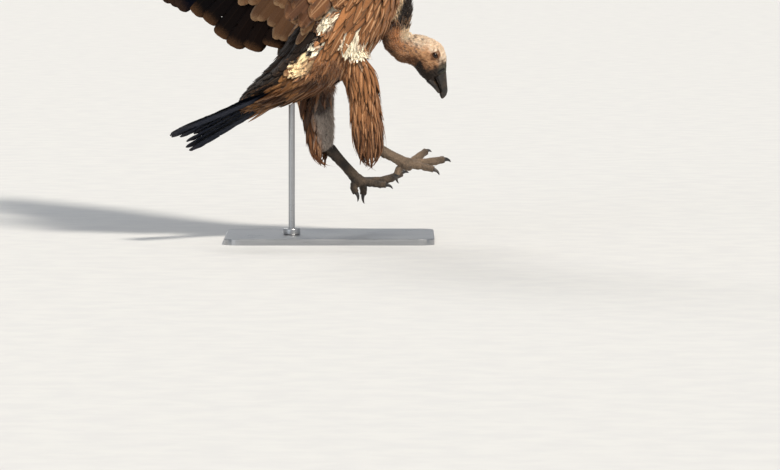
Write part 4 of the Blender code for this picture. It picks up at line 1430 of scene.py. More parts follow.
def make_trunk_plumage(settings):
    """Contour feathers of the trunk, one coat a side."""
    skin = SKIN["body"]
    p = skin.points
    share, left, up, spine_way = body_place(p)
    body = skin.tract == TRUNK
    back = ramp(up, 0.005, 0.045)
    vent = ramp(share, 0.34, 0.12)
    rng = np.random.default_rng(SEEDS["trunk"])
    spacing = settings.spacing * (1 + 0.25 * back - 0.12 * vent)
    for word, side in SIDES.items():
        allowed = body & (left * side > 0) & (share > 0.045) & (bare_patch(p) < 0.5)
        allowed &= (skin.normals * spine_way).sum(1) > -0.6
        roots = scatter(skin, allowed, spacing, rng)
        covers = bare_patch(p[roots] + skin.flow[roots] * settings.length * 0.45) > 0.5
        roots = roots[~covers | (rng.random(len(roots)) < 0.35)]
        n = len(roots)
        front = ramp(share[roots], 0.80, 1.0)
        long = settings.length * (1 + 0.15 * vent[roots] - 0.35 * front - 0.08 * back[roots])
        wide = (0.0098 + 0.0016 * back[roots]) * (1 - 0.3 * front)
        long = long * rng.uniform(0.8, 1.2, n)
        long = np.minimum(long, 0.010 + 0.19 * share[roots] + 0.02 * back[roots])
        coat = Coat(f"plumage_trunk_{word}")
        lift = settings.lift * (1 - 0.55 * vent[roots])
        plume(coat, SMALL, skin, roots, long, wide, rng, SPINE_LINE,
              free=0.12, rise=rng.uniform(0.6, 1.05, n) * lift, peak=0.34, ahead=0.75,
              edge=1.8, power=0.85, ragged=0.06, sway=0.05, cup=0.22)
        coat.finish(feather_material("plumage_vane"), "plumage_brown")


def make_long_plumes():
    """Scapulars over the shoulders and long flank plumes below the wing."""
    skin = SKIN["body"]
    share, left, up, spine_way = body_place(skin.points)
    rng = np.random.default_rng(SEEDS["scapulars"])
    paint = palette()
    shoulder = (skin.tract == TRUNK) & (up > 0.018) & (share > 0.42) & (share < 0.90)
    shoulder &= (np.abs(left) > 0.022) & (np.abs(left) < 0.072)
    shoulder &= (skin.flow * spine_way).sum(1) < -0.85
    coat = Coat("plumage_scapulars")
    roots = scatter(skin, shoulder, 0.014, rng)
    far_end = skin.nearest(skin.points[roots] + skin.flow[roots] * 0.08)
    roots = roots[(skin.tract[far_end] == TRUNK) & (np.abs(left[roots]) < 0.064)]
    # painted shade: scapulars reaching into the hollow under the wing or back over the rump are
    # darkened to umber, their pale edges too
    seen = skin.points[roots] + skin.flow[roots] * 0.045
    dim = np.maximum(marked(seen, "shade"), ramp(seen[:, 0], -0.058, -0.080))
    tint = mix(paint.dark_brown, paint.covert, rng.uniform(0.1, 0.9, len(roots)))
    tint = mix(tint, paint.umber * 0.45, dim)
    edge = mix(paint.covert_edge, paint.umber * 0.8, dim)
    colours = (tint, edge, (0.05, 0.9, 0.5))
    plume(coat, COVERT_NET, skin, roots, (0.070, 0.100), 0.0140, rng, SPINE_LINE,
          free=0.35, rise=0.010, peak=0.5, edge=2.4, power=0.7, ragged=0.06, sway=0.04,
          colours=colours)
    flank = (skin.tract == TRUNK) & (up < 0.05) & (up > -0.02) & (np.abs(left) > 0.040)
    flank &= (share > 0.64) & (share < 0.88) & (mirrored(skin.points)[:, 0] > 0.030)
    roots = scatter(skin, flank, 0.018, rng)
    tint = mix(paint.brown, paint.dark_brown, rng.uniform(0.0, 0.6, len(roots)))
    colours = (tint, paint.streak, (0.10, 0.45, 0.9))
    plume(coat, COVERT_NET, skin, roots, (0.070, 0.092), 0.0092, rng, SPINE_LINE,
          free=0.3, rise=0.013, peak=0.40, edge=1.9, power=0.85, ragged=0.06, sway=0.05,
          colours=colours)
    coat.finish(feather_material("plumage_vane"), "plumage_brown")


def make_trousers(settings):
    """Long feathers of the thighs and shanks, and grey down on their inner sides."""
    skin = SKIN["body"]
    rng = np.random.default_rng(SEEDS["thighs"])
    thigh = skin.tract == THIGH
    shank = leg_share(skin.points)
    inner = inner_leg(skin.points)
    covered = (shank < 1.0) & (bare_patch(skin.points) < 0.5)
    for word, rows, knee, ankle in each_leg(skin.points):
        mine = thigh & rows & covered & (skin.normals @ unit(ankle - knee) > -0.55)
        coat = Coat(f"plumage_thigh_{word}")
        fluffy = mine & (inner > 0.45)
        roots = scatter(skin, mine & ~fluffy, settings.spacing * 0.80, rng)
        low = ramp(shank[roots], 0.1, 0.9)
        long = (0.050 - 0.010 * low) * rng.uniform(0.75, 1.25, len(roots))
        line = fine_line((knee, ankle), 40)[0]
        plume(coat, SMALL, skin, roots, long, 0.0066, rng, line, free=0.55,
              rise=(0.0024, 0.0080), edge=1.5, power=0.95, ragged=0.12, sway=0.06)
        roots = scatter(skin, mine & ~fluffy & (shank > 0.52) & (shank < 0.84), 0.0075, rng)
        plume(coat, SMALL, skin, roots, (0.056, 0.082), 0.0050, rng, line, free=1.0,
              rise=(0.0016, 0.0080), peak=0.30, edge=1.3, power=1.0, ragged=0.16,
              sway=0.08, jitter=0.10)
        coat.finish(feather_material("plumage_vane"), "plumage_brown")
        coat = Coat(f"down_thigh_{word}")
        roots = scatter(skin, fluffy, 0.0040, rng)
        plume(coat, SMALL, skin, roots, (0.012, 0.018), 0.0030, rng, line, gain=1.15,
              free=0.3, rise=(0.001, 0.004), edge=1.4, power=0.9, ragged=0.30, sway=0.10,
              jitter=0.18, thick=0.0003)
        roots = np.repeat(scatter(skin, fluffy, 0.0028, rng), 5)
        plume(coat, SPIKE, skin, roots, (0.009, 0.016), 0.0006, rng, line, gain=1.2,
              free=0.5, rise=(0.003, 0.009), spill=0.0022, sway=0.22, jitter=0.28,
              thick=0.0006, **TUFT)
        coat.finish(feather_material("down_loose"), "down")


def make_ruff():
    """Loose tufts of the ruff and of the lower neck."""
    skin = SKIN["body"]
    rng = np.random.default_rng(SEEDS["ruff"])
    coat = Coat("down_ruff")
    run = neck_place(skin.points)[0]
    allowed = (skin.tract == RUFF) | (skin.tract == NECK) & (run > 0.50)
    roots = scatter(skin, allowed, 0.0030, rng)
    roots = np.concatenate([roots, roots])
    plume(coat, SPIKE, skin, roots, (0.014, 0.030), 0.0012, rng, NECK_FINE, free=0.4,
          rise=(0.0024, 0.0096), sway=0.22, jitter=0.34, thick=0.0014, ahead=0.5, **TUFT)
    coat.finish(feather_material("down_tuft"), "down")


def make_loose_down():
    """Loose down where the contour feathers part, and rough tufts on the knee."""
    skin = SKIN["body"]
    rng = np.random.default_rng(SEEDS["patches"])
    p = skin.points
    body = (skin.tract == TRUNK) | (skin.tract == THIGH)
    coat = Coat("down_patches")
    bare = bare_patch(p)
    # gains above one brighten the white down past its own colour: painted light against the
    # shadows among the tufts
    roots = np.repeat(scatter(skin, (bare > 0.35) & body, 0.0042, rng), 2)
    rise = rng.uniform(0.008, 0.013, len(roots))
    plume(coat, SMALL, skin, roots, (0.018, 0.028), 0.0056, rng, SPINE_LINE, rise=rise,
          gain=1.4, free=0.4, edge=1.3, spill=0.0030, power=0.9, ragged=0.25, sway=0.10,
          jitter=0.16, thick=0.0003, cup=0.02)
    roots = np.repeat(scatter(skin, (bare > 0.30) & body, 0.0036, rng), 3)
    rise = rng.uniform(0.011, 0.015, len(roots))
    plume(coat, SPIKE, skin, roots, (0.012, 0.024), 0.0007, rng, SPINE_LINE, rise=rise,
          gain=1.5, free=0.5, spill=0.0040, sway=0.20, jitter=0.22, thick=0.0006, **TUFT)
    roots = np.repeat(scatter(skin, (marked(p, "knob") > 0.4) & body, 0.0034, rng), 4)
    plume(coat, SPIKE, skin, roots, (0.012, 0.022), 0.0009, rng, SPINE_LINE, free=0.7,
          rise=(0.0060, 0.0156), spill=0.0028, sway=0.3, jitter=0.45, thick=0.0010, **TUFT)
    coat.finish(feather_material("down_loose"), "down")


def make_head_down():
    """Short down on crown, nape and neck, thinning to bristles on the face."""
    skin = SKIN["head"]
    rng = np.random.default_rng(SEEDS["head"])
    p = skin.points
    run, high = neck_place(p)
    eye = np.minimum(*(np.linalg.norm(p - eye_centre(s), axis=1) for s in SIDES.values()))
    bare = (run < 0.085) | (eye < EYE_R + 0.0034) | (run > 0.66)
    face = ramp(high, 0.010, -0.010) * ramp(run, 0.36, 0.18)
    face = np.maximum(face, ramp(run, 0.14, 0.06))
    for name, low, top in (("down_head", 0.0, 0.31), ("down_neck", 0.31, 0.66)):
        allowed = ~bare & (run >= low) & (run < top)
        spacing = (0.00150 if low == 0 else 0.0019) * (1 + 1.1 * face)
        roots = scatter(skin, allowed, spacing, rng)
        n = len(roots)
        length = (0.0042 - 0.0020 * face[roots] + 0.0050 * ramp(run[roots], 0.28, 0.5))
        coat = Coat(name)
        # a gain above one brightens the down past its own colour: painted light against the
        # shadows the tufts cast on one another
        plume(coat, SPIKE, skin, roots, length * rng.uniform(0.6, 1.3, n),
              0.00042 + 0.0002 * (low > 0), rng, NECK_FINE, gain=1.25, free=0.4,
              rise=rng.uniform(0.1, 0.5, n) * length, sway=0.18, jitter=0.30,
              thick=0.0006, low=-0.0002, **TUFT)
        coat.finish(feather_material("down_tuft"), "down")


# wings ---------------------------------------

def flight_rows(wing, kind):
    """Base, way, length and lift of each feather of one rank, the innermost first."""
    rows = []
    count = FLIGHT_COUNTS[kind]
    for i in range(count):
        if kind == "primaries":
            f = i / (count - 1)
            base = (WRIST_S + (HAND_S - WRIST_S) * (i + 0.5) / HAND_QUILLS, HAND_REAR)
            if i >= HAND_QUILLS:
                base = (HAND_S, HAND_REAR - 0.018 * (i - HAND_QUILLS + 0.5))
            angle = 76 - 66 * f ** 0.92
            long = 0.325 + 0.135 * math.sin(math.pi * min(1, f * 1.02) ** 1.5 * 0.72)
            lift = 0.055 + 0.03 * f
        else:
            f = (i + 0.5) / count
            inner, outer = (ELBOW_S, WRIST_S) if kind == "secondaries" else (0.015, ELBOW_S)
            s = inner + (outer - inner) * f
            base = (s, float(wing.line(wing.REAR, s)))
            if kind == "secondaries":
                angle, long, lift = 100 - 22 * f, 0.212 + 0.095 * f, 0.004
                long += SECONDARY_TRIM[i]
            else:
                angle, long, lift = 146 - 45 * f ** 0.8, 0.122 + 0.095 * f, 0.0
                long += TERTIAL_TRIM[i]
        rows.append((base, math.radians(angle), long, lift, f))
    return rows


def blade_outline(v, kind, f):
    """Half widths of the leading and the trailing vane along a flight feather."""
    grow = ramp(v, 0.0, 0.10) ** 0.7
    if kind == "primaries":
        slim = ramp(v, 0.46, 0.66) * ramp(f, 0.25, 0.55)
        lead = (0.0125 - 0.0045 * slim) * grow
        trail = (0.0310 - 0.0150 * slim) * grow
        tip = 0.93 - 0.05 * f
    elif kind == "tail":
        lead = trail = (0.0130 + 0.0035 * v) * grow
        tip = 0.80
    else:
        lead = (0.0165 + 0.002 * v) * grow
        trail = (0.0265 + 0.001 * v) * grow
        tip = 0.92
    end = np.sqrt(np.clip(1 - np.clip((v - tip) / (1 - tip), 0, 1) ** 2.2, 0, 1))
    return lead * end, trail * end


def blade(kind, base, angle, length, lift, f, place, rng, tilt=0.055):
    """Points of one flight feather on the surface that place gives."""
    net = FLIGHT_NET
    lead, trail = blade_outline(net.v, kind, f)
    border = np.abs(net.u) == 1
    x = net.u * np.where(net.u > 0, lead, trail)
    for row in SPLIT_ROWS:
        if rng.random() < 0.55:
            hand = rng.choice((-1, 1))
            split = border & (np.abs(net.v - FLIGHT_ROWS[row + 1]) < 0.002)
            x[split & (net.u == hand)] *= rng.uniform(0.45, 0.85)
    x = x * (1 + border * rng.normal(0, 0.025, len(x)))
    slant = 0.030 * np.abs(net.u) ** 1.2 * ramp(net.v, 0.0, 0.1)
    y = length * np.clip(net.v + slant * (1 - net.v) ** 0.5, 0, 1.0)
    bend = rng.normal(0, 0.012) * length
    x = x + bend * (y / length) ** 2
    way = np.array((math.cos(angle), math.sin(angle)))
    across = np.array((math.sin(angle), -math.cos(angle)))
    a = base[0] + way[0] * y + across[0] * x
    b = base[1] + way[1] * y + across[1] * x
    rachis = np.abs(net.u) < 0.07
    quill = np.where(rachis, 0.0014 * (1 - 0.75 * net.v), 0.00022)
    n = lift * (y / length) ** 2 + tilt * x - 6.0 * (x * (1 - 0.3 * net.v)) ** 2
    n = n + net.s * quill + border * rng.normal(0, 0.0003, len(x))
    return place(a, b, n)


def make_flight(word):
    """Primaries, secondaries and tertials of one wing."""
    wing = Wing(word)
    rng = np.random.default_rng(SEEDS[f"flight_{word}"])
    paint = palette()
    for kind in FLIGHT_COUNTS:
        soft = kind == "tertials"
        rows = flight_rows(wing, kind)
        coat = Coat(f"feathers_{word}_{kind}")
        for i, (base, angle, length, lift, f) in enumerate(rows):
            points = blade(kind, base, angle, length, lift, f, wing.place, rng)
            if soft:
                tint = mix(paint.flight, paint.dark_brown, 0.20 - 0.18 * f)
                tint = tint * rng.uniform(0.7, 1.05)
                mark = (0.0, 0.45, 0.06)
                pale = mix(paint.covert, paint.dark_brown, 0.2)
            else:
                # black with a blue cast, the blue being painted reflection of the sky
                tint = mix(paint.flight, paint.flight_black_sky_reflection, 0.4) * rng.uniform(0.75, 1.15)
                mark = (0.0, 0.45, 0.03)
                pale = FLIGHT_EDGE
            strip = np.array([[(i + 0.5) / len(rows), 0.5]])
            coat.add(FLIGHT_NET, points[None], tint, pale, mark, strip,
                     (0.9 / len(rows), 0.97))
        material = feather_material("tertial_vane" if soft else "flight_vane")
        coat.finish(material, "plumage_brown" if soft else "flight_black",
                    f"wing_{word}_{kind}")


def wing_coverts(coat, wing, rank, upper, rng):
    """Lays one row of coverts on one face of a wing."""
    s0, s1, c0, gap, long, wide, low, high, colours = rank
    count = max(2, int((s1 - s0) / gap))
    s = np.linspace(s0, s1, count) + rng.normal(0, gap * 0.12, count)
    lead, rear = wing.line(wing.LEAD, s), wing.line(wing.REAR, s)
    c = lead + (rear - lead) * c0 + rng.normal(0, 0.0015, count)
    f = np.clip((s - ELBOW_S) / (WRIST_S - ELBOW_S), 0, 1)
    angle = np.where(s < ELBOW_S, np.interp(s, (0, ELBOW_S), (128, 100)), 100 - 22 * f)
    angle = np.where(s > WRIST_S, np.interp(s, (WRIST_S, HAND_S), (76, 36)), angle)
    angle = np.radians(angle + rng.normal(0, 3.0, count))[:, None]
    long = (long * rng.uniform(0.88, 1.12, count))[:, None]
    wide = (wide * rng.uniform(0.9, 1.1, count))[:, None]
    net = COVERT_NET
    u, v, face = net.u[None], net.v[None], net.s[None]
    border = (np.abs(net.u) == 1)[None]
    w = taper(net.v, 0.5, 2.6, 0.55)[None]
    x = wide * u * w * (1 + border * rng.normal(0, 0.05, (count, len(net.u))))
    y = long * (v + 0.03 * np.abs(u) * w)
    a = s[:, None] + np.cos(angle) * y + np.sin(angle) * x
    b = c[:, None] + np.sin(angle) * y - np.cos(angle) * x
    sign = 1 if upper else -1
    beyond = 0.0042 + 0.10 * np.maximum(b - wing.line(wing.REAR, a), 0)
    body = np.maximum(wing.height(a, b, upper), np.minimum(beyond, 0.006))
    up = body + low + (high - low) * v - 0.20 * wide * (u * w) ** 2
    hand = np.where(s[:, None] > WRIST_S - 0.01, 0.45 * y ** 2, 0.0)
    points = wing.place(a, b, sign * (up + face * 0.0004 * sign) + hand)
    tint, pale, mark = colours
    tint = mix(tint[0], tint[1], rng.uniform(0, 1, count))
    tint = tint * (1 + rng.normal(0, 0.10, (count, 1)))
    bake = np.stack([0.02 + 0.96 * np.clip((s + 0.06) / 0.70, 0, 1),
                     0.02 + 0.96 * np.clip((c + 0.07) / 0.22, 0, 1)], 1)
    coat.add(net, points, tint, pale, mark, bake, TUFT_PATCH)


def covert_ranks(upper):
    """Rows of one face of the wing, the rearmost first so that the others overlie it.

    A row has the span where it starts and ends, its place along the chord, the gap between
    feathers, their length and half width, the height of root and tip, and the colours.
    """
    paint = palette()
    if upper:
        tints = [mix(paint.dark_brown, paint.covert, t) for t in (0.25, 0.8, 0.3, 0.4)]
        greater = ((tints[0], tints[1]), paint.covert_edge, (0.0, 0.55, 0.14))
        median = ((tints[2], paint.covert), paint.covert_edge, (0.0, 0.9, 0.16))
        lesser = ((tints[3], paint.covert), paint.covert_edge, (0.0, 0.9, 0.16))
    else:
        deep = mix(paint.umber, paint.flight, 0.5)
        greater = ((deep, paint.dark_brown), paint.covert, (0.0, 0.4, 0.4))
        median = ((paint.dark_brown, paint.brown * 0.8), paint.streak * 0.8, (0.07, 0.4, 0.6))
        lesser = ((paint.dark_brown, paint.brown), paint.streak, (0.10, 0.4, 0.6))
    rows = [
        (-0.02, ELBOW_S, 0.78, 0.0150, 0.125, 0.0225, 0.0006, 0.0014, greater),
        (ELBOW_S, WRIST_S, 0.80, 0.0125, 0.100, 0.0165, 0.0006, 0.0012, greater),
        (WRIST_S, HAND_S, 0.62, 0.0125, 0.100, 0.0110, 0.0006, 0.0014, greater),
        (-0.03, ELBOW_S, 0.62, 0.0140, 0.092, 0.0205, 0.0012, 0.0028, median),
        (ELBOW_S, WRIST_S, 0.62, 0.0120, 0.068, 0.0150, 0.0010, 0.0026, median),
        (WRIST_S, HAND_S + 0.005, 0.42, 0.0110, 0.060, 0.0100, 0.0010, 0.0026, median),
    ]
    for k, c0 in enumerate((0.50, 0.40, 0.31, 0.23, 0.15, 0.08, 0.02)):
        long = 0.046 - 0.0045 * k
        rows.append((-0.04, HAND_S, c0, 0.0095 - 0.0006 * k, long, 0.0118 - 0.0009 * k,
                     0.0012, 0.0036, lesser))
    return rows


def make_coverts(word):
    """Coverts of both faces of one wing."""
    wing = Wing(word)
    for upper in (True, False):
        face = "upper" if upper else "under"
        rng = np.random.default_rng(SEEDS[f"coverts_{word}"] + upper)
        coat = Coat(f"coverts_{word}_{face}")
        for rank in covert_ranks(upper):
            wing_coverts(coat, wing, rank, upper, rng)
        coat.finish(feather_material("covert_vane"), "plumage_brown")


# tail ----------------------------------------

def tail_frame():
    """Root of the tail, and the ways back, left and up of its plane."""
    yaw = HEADING * 0.9
    back = -np.array((math.cos(yaw) * math.cos(TAIL_DROP), math.sin(yaw) * math.cos(TAIL_DROP),
                      math.sin(TAIL_DROP)))
    left = unit(LEFT - back * np.dot(LEFT, back))
    normal = np.cross(left, back)
    left = left * math.cos(TAIL_ROLL) - normal * math.sin(TAIL_ROLL)
    normal = np.cross(left, back)
    root = np.array((TAIL_ROOT[0], SPINE_LEAN * TAIL_ROOT[0], TAIL_ROOT[1]))
    return root, back, left, normal


def make_tail():
    """The twelve tail feathers, fanned and rolled, and their coverts."""
    root, back, left, normal = tail_frame()
    rng = np.random.default_rng(SEEDS["tail"])

    def place(a, b, n):
        """Points at a to the left, b back and n above the fanned tail."""
        a, b, n = np.broadcast_arrays(a, b, n)
        rise = n + 0.2 * b * b - 0.6 * a * a
        return root + left * a[..., None] + back * b[..., None] + normal * rise[..., None]

    coat = Coat("feathers_tail")
    for i in range(RECTRICES):
        f = 2 * i / (RECTRICES - 1) - 1
        side = 1 if f > 0 else -1
        angle = math.pi / 2 - f * TAIL_SPREAD * 0.84
        length = TAIL_LENGTH * (1 - 0.05 * f * f) * TAIL_TRIM[i]
        drop = 0.012 * f * f + 0.0009 * abs(i - (RECTRICES - 1) / 2)
        points = blade("tail", (0.018 * f, 0.0), angle, length, 0.0, abs(f), place, rng,
                       tilt=0.03 * side) - normal * drop
        # black with a blue cast of painted sky reflection
        tint = TAIL_BLACK_SKY_REFLECTION * rng.uniform(0.75, 1.3)
        strip = np.array([[(i + 0.5) / RECTRICES, 0.5]])
        coat.add(FLIGHT_NET, points[None], tint, TAIL_EDGE, (0.0, 0.15, 0.10), strip,
                 (0.9 / RECTRICES, 0.97))
    coat.finish(feather_material("flight_vane"), "flight_black", "tail")
    make_tail_coverts(place, rng)


# rows of tail coverts: place behind the tail's root, count, half spread and length
TAIL_COVERT_ROWS = ((0.008, 10, 0.030, 0.080), (-0.004, 9, 0.026, 0.070),
                    (-0.018, 8, 0.022, 0.060))


def make_tail_coverts(place, rng):
    """Feathers that cover the roots of the tail above and below."""
    paint = palette()
    coat = Coat("coverts_tail")
    net = SMALL
    w = taper(net.v, 0.4, 2.0, 0.8)[None]
    for upper in (1, -1):
        # upper coverts near-black with a blue cast of painted sky reflection; under coverts brown
        tone = mix(paint.flight_black_sky_reflection if upper > 0 else paint.brown, paint.umber, 0.4)
        mark = (0.04, 0.4, 0.2) if upper > 0 else (0.12, 0.2, 0.4)
        for back, count, spread, long in TAIL_COVERT_ROWS:
            f = np.linspace(-1, 1, count) + rng.normal(0, 0.05, count)
            angle = (math.pi / 2 - f * 0.24)[:, None]
            x = 0.0095 * net.u[None] * w
            y = long * rng.uniform(0.85, 1.1, count)[:, None] * net.v[None]
            a = spread * f[:, None] + np.cos(angle) * y + np.sin(angle) * x
            b = back + np.sin(angle) * y - np.cos(angle) * x
            off = 0.004 + (0.012 - back) * 0.15 + 0.002 * net.v[None]
            n = upper * off - 0.010 * f[:, None] ** 2 - 0.008 * (upper < 0) + net.s * 0.0004
            points = place(a, b, n)
            tint = tone * (1 + rng.normal(0, 0.15, (count, 1)))
            bake = np.stack([0.5 + 0.4 * f, np.full(count, 0.5 + upper * 0.2 + back)], 1)
            coat.add(net, points, tint, paint.streak, mark, bake, TUFT_PATCH)
    coat.finish(feather_material("plumage_vane"), "plumage_brown")


# bill, eyes, legs and claws ------------------

def solid_piece(name, nodes, voxel, rounds, grow=0.0):
    """One rounded piece made from CAD nodes."""
    bm = bmesh.new()
    gather(bm, nodes, grow)
    return settle(bm, name, voxel, rounds)


def make_bill():
    """Both halves of the bill, swollen a little and roughened."""
    paint = palette()
    material = horn_material("bill_horn", paint.bill, paint.bill_worn, 0.42)
    for half, grow in (("upper", 0.0003), ("lower", 0.0011)):
        thing = solid_piece(f"horn_{half}", [f"bill_{half}"], BILL_VOXEL, 4, grow)
        mesh = thing.data
        p, n = verts_of(mesh), normals_of(mesh)
        push = 0.00010 * cloud(p, 0.006, 61)
        put_verts(mesh, p + n * push[:, None])
        shade(thing, material)
        done(thing, "horn_black", f"bill_{half}")


def make_eyes():
    """Eyeballs with a raised cornea, an iris and a pupil."""
    paint = palette()
    material = eye_material()
    for word, side in SIDES.items():
        bpy.ops.object.select_all(action="DESELECT")
        centre = eye_centre(side)
        bpy.ops.mesh.primitive_uv_sphere_add(segments=64, ring_count=40, radius=EYE_R)
        thing = bpy.context.object
        thing.name = f"eyeball_{word}"
        mesh = thing.data
        out = eye_way(side)
        turn = Vector((0, 0, 1)).rotation_difference(Vector(out))
        mesh.transform(turn.to_matrix().to_4x4())
        p = verts_of(mesh)
        face = unit(p) @ out
        bulge = 0.00055 * ramp(face, 0.72, 0.98)
        put_verts(mesh, p + unit(p) * bulge[:, None] + centre)
        iris = mix(IRIS_RIM, paint.iris, ramp(face, 0.80, 0.90))
        set_colour(mesh, "tint", mix(iris, PUPIL, ramp(face, 0.915, 0.935)))
        bpy.ops.object.shade_smooth()
        shade(thing, material)
        done(thing, "eye_brown", f"eye_{word}")


TOE_ROOT = {"left": (0.054, 0.076, 0.110), "right": (0.150, -0.030, 0.147)}
# how pale each foot grows towards its toes: partly the feet's own paler skin, but the right
# foot's far greater share is painted light and the left foot's darkness painted shade
FOOT_PALE_AND_PAINTED_LIGHT = {"left": 0.05, "right": 0.60}


def make_legs():
    """Legs and feet with scutes, cells and pads, one piece a side, and their claws."""
    paint = palette()
    material = leg_material()
    claw = horn_material("claw_horn", paint.claw, paint.claw_worn, 0.34)
    for word in SIDES:
        knee, ankle, root = (np.array(t[word]) for t in (KNEE, ANKLE, TOE_ROOT))
        bm = bmesh.new()
        gather(bm, (f"tarsus_{word}", f"foot_{word}"), 0.0018)
        rows = []
        for f, r in ((-0.34, 0.0072), (-0.2, 0.0078), (-0.05, 0.0085), (0.12, 0.0088)):
            at = ankle + (root - ankle) * f if f > 0 else ankle + (knee - ankle) * -f
            rows.append((*at, r, r))
        add_tube(bm, rows)
        thing = settle(bm, f"leg_{word}", LEG_VOXEL, 3)
        mesh = thing.data
        p, n = verts_of(mesh), normals_of(mesh)
        far = np.linalg.norm(p - root, axis=1)
        pad = 0.0006 * cloud(p, 0.013, 71) * ramp(n @ UP, 0.0, -0.6) * (far > 0.01)
        push = 0.0007 * scutes(p, n, ankle, root) + pad + 0.0002 * cloud(p, 0.004, 72)
        put_verts(mesh, p + n * push[:, None])
        # paler towards the toes: the feet's own paler skin, with painted light on the right foot
        # and painted shade on the left
        pale = FOOT_PALE_AND_PAINTED_LIGHT[word] * ramp(far, 0.10, 0.02) + 0.15 * cloud(p, 0.03, 73)
        set_colour(mesh, "tint", mix(paint.leg_dark, paint.leg_pale, np.clip(pale + 0.15, 0, 1)))
        shade(thing, material)
        done(thing, "leg_skin", f"tarsus_{word}", f"foot_{word}")
        names = [f"claw_{word}_{k}" for k in range(1, 5)]
        talons = solid_piece(f"talons_{word}", names, CLAW_VOXEL, 3)
        shade(talons, claw)
        done(talons, "horn_black", *names)


def scutes(p, n, ankle, root):
    """Broad scales down the front of the tarsus and along the tops of the toes."""
    run = (p - ankle) @ unit(root - ankle)
    front = n @ unit(LEVEL_AHEAD * 0.8 + UP * 0.6)
    step = 0.5 + 0.5 * np.sin(run * 2 * math.pi / 0.0052)
    on_leg = ramp(front, 0.1, 0.6) * ramp(step, 0.0, 0.35)
    far = np.linalg.norm(p - root, axis=1)
    step = 0.5 + 0.5 * np.sin(far * 2 * math.pi / 0.0056)
    on_toe = ramp(far, 0.014, 0.022) * ramp(n @ UP, 0.1, 0.6) * ramp(step, 0, 0.35)
    return np.where(run > np.linalg.norm(root - ankle) - 0.012, on_toe, on_leg)


# stand and stage -----------------------------

def make_stand():
    """Base plate with an eased edge, a collar at the foot of the rod, and the rod."""
    steel = steel_material()
    bm = bmesh.new()
    gather(bm, ("stand_base",))
    bmesh.ops.dissolve_limit(bm, angle_limit=0.01, verts=bm.verts, edges=bm.edges)
    top_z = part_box("stand_base")[1][2]
    top = [e for e in bm.edges if min(v.co.z for v in e.verts) > top_z - 0.001]
    bmesh.ops.bevel(bm, geom=top, offset=0.0018, segments=3, profile=0.5, affect="EDGES")
    mesh = bpy.data.meshes.new("stand_plate")
    bm.to_mesh(mesh)
    bm.free()
    plate = add_object("stand_plate", mesh)
    shade(plate, steel)
    done(plate, "stand_steel", "stand_base")
    low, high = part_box("stand_rod")
    x, y = (low[0] + high[0]) / 2, (low[1] + high[1]) / 2
    bpy.ops.object.select_all(action="DESELECT")
    bpy.ops.mesh.primitive_cylinder_add(vertices=48, radius=0.0165, depth=0.012,
                                        location=(x, y, low[2] + 0.006))
    collar = bpy.context.object
    collar.name = "stand_collar"
    bpy.ops.object.transform_apply(location=True, rotation=True, scale=True)
    edge = collar.modifiers.new("edge", "BEVEL")
    edge.width = 0.002
    edge.segments = 3
    edge.limit_method = "ANGLE"
    bpy.ops.object.modifier_apply(modifier="edge")
    bpy.ops.object.shade_smooth_by_angle(angle=math.radians(35))
    shade(collar, steel)
    done(collar, "stand_steel")
    shade(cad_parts["stand_rod"], steel)


# lamps: place, angle in degrees, share of the main light's power, and colour
LAMPS = {
    "key": ((1.3, -2.2, 2.9), 9, 1.0, (1.0, 0.93, 0.82)),
    "fill": ((-2.4, -2.8, 0.9), 40, 0.12, (0.90, 0.95, 1.0)),
    "rim": ((-1.0, 2.6, 2.4), 20, 0.22, (1.0, 0.96, 0.90)),
}
SKY_COLOUR = (0.86, 0.92, 1.0, 1)
CAMERA_AIM = (0.11538, 0, 0.00962)
CAMERA_DISTANCE = 12


def make_stage(settings):
    """Floor, sky, lamps and camera."""
    bpy.ops.object.select_all(action="DESELECT")
    bpy.ops.mesh.primitive_plane_add(size=160, location=(0, 0, 0))
    floor = bpy.context.object
    floor.name = "floor"
    shade(floor, floor_material())
    world = bpy.data.worlds.new("studio")
    world.use_nodes = True
    background = world.node_tree.nodes["Background"]
    background.inputs["Color"].default_value = SKY_COLOUR
    background.inputs["Strength"].default_value = settings.sky
    bpy.context.scene.world = world
    for name, (at, spread, share, tone) in LAMPS.items():
        lamp = bpy.data.lights.new(name, "SUN")
        lamp.angle = math.radians(spread)
        lamp.energy = settings.key * share
        lamp.color = tone
        thing = add_object(name, lamp)
        thing.location = at
        thing.rotation_euler = (-Vector(at)).to_track_quat("-Z", "Y").to_euler()
    bpy.context.scene.view_settings.view_transform = "Standard"
    make_camera(settings)


def make_camera(settings):
    """A long lens far off, a little above, that looks down on the bird."""
    lens = bpy.data.cameras.new("viewpoint")
    lens.lens = settings.lens
    lens.sensor_width = 36
    lens.clip_end = 400
    thing = add_object("viewpoint", lens)
    tilt = settings.camera_tilt
    away = Vector((0, -math.cos(tilt), math.sin(tilt))) * CAMERA_DISTANCE
    thing.location = Vector(CAMERA_AIM) + away
    thing.rotation_euler = (math.pi / 2 - tilt, 0, 0)
    bpy.context.scene.camera = thing


# the add-on ----------------------------------

def colour_property(name, description, *rgb):
    """A colour of the panel, its default given in display values from 0 to 255."""
    return FloatVectorProperty(name=name, description=description, subtype="COLOR",
                               default=srgb(*rgb).tolist(), min=0.0, max=1.0)


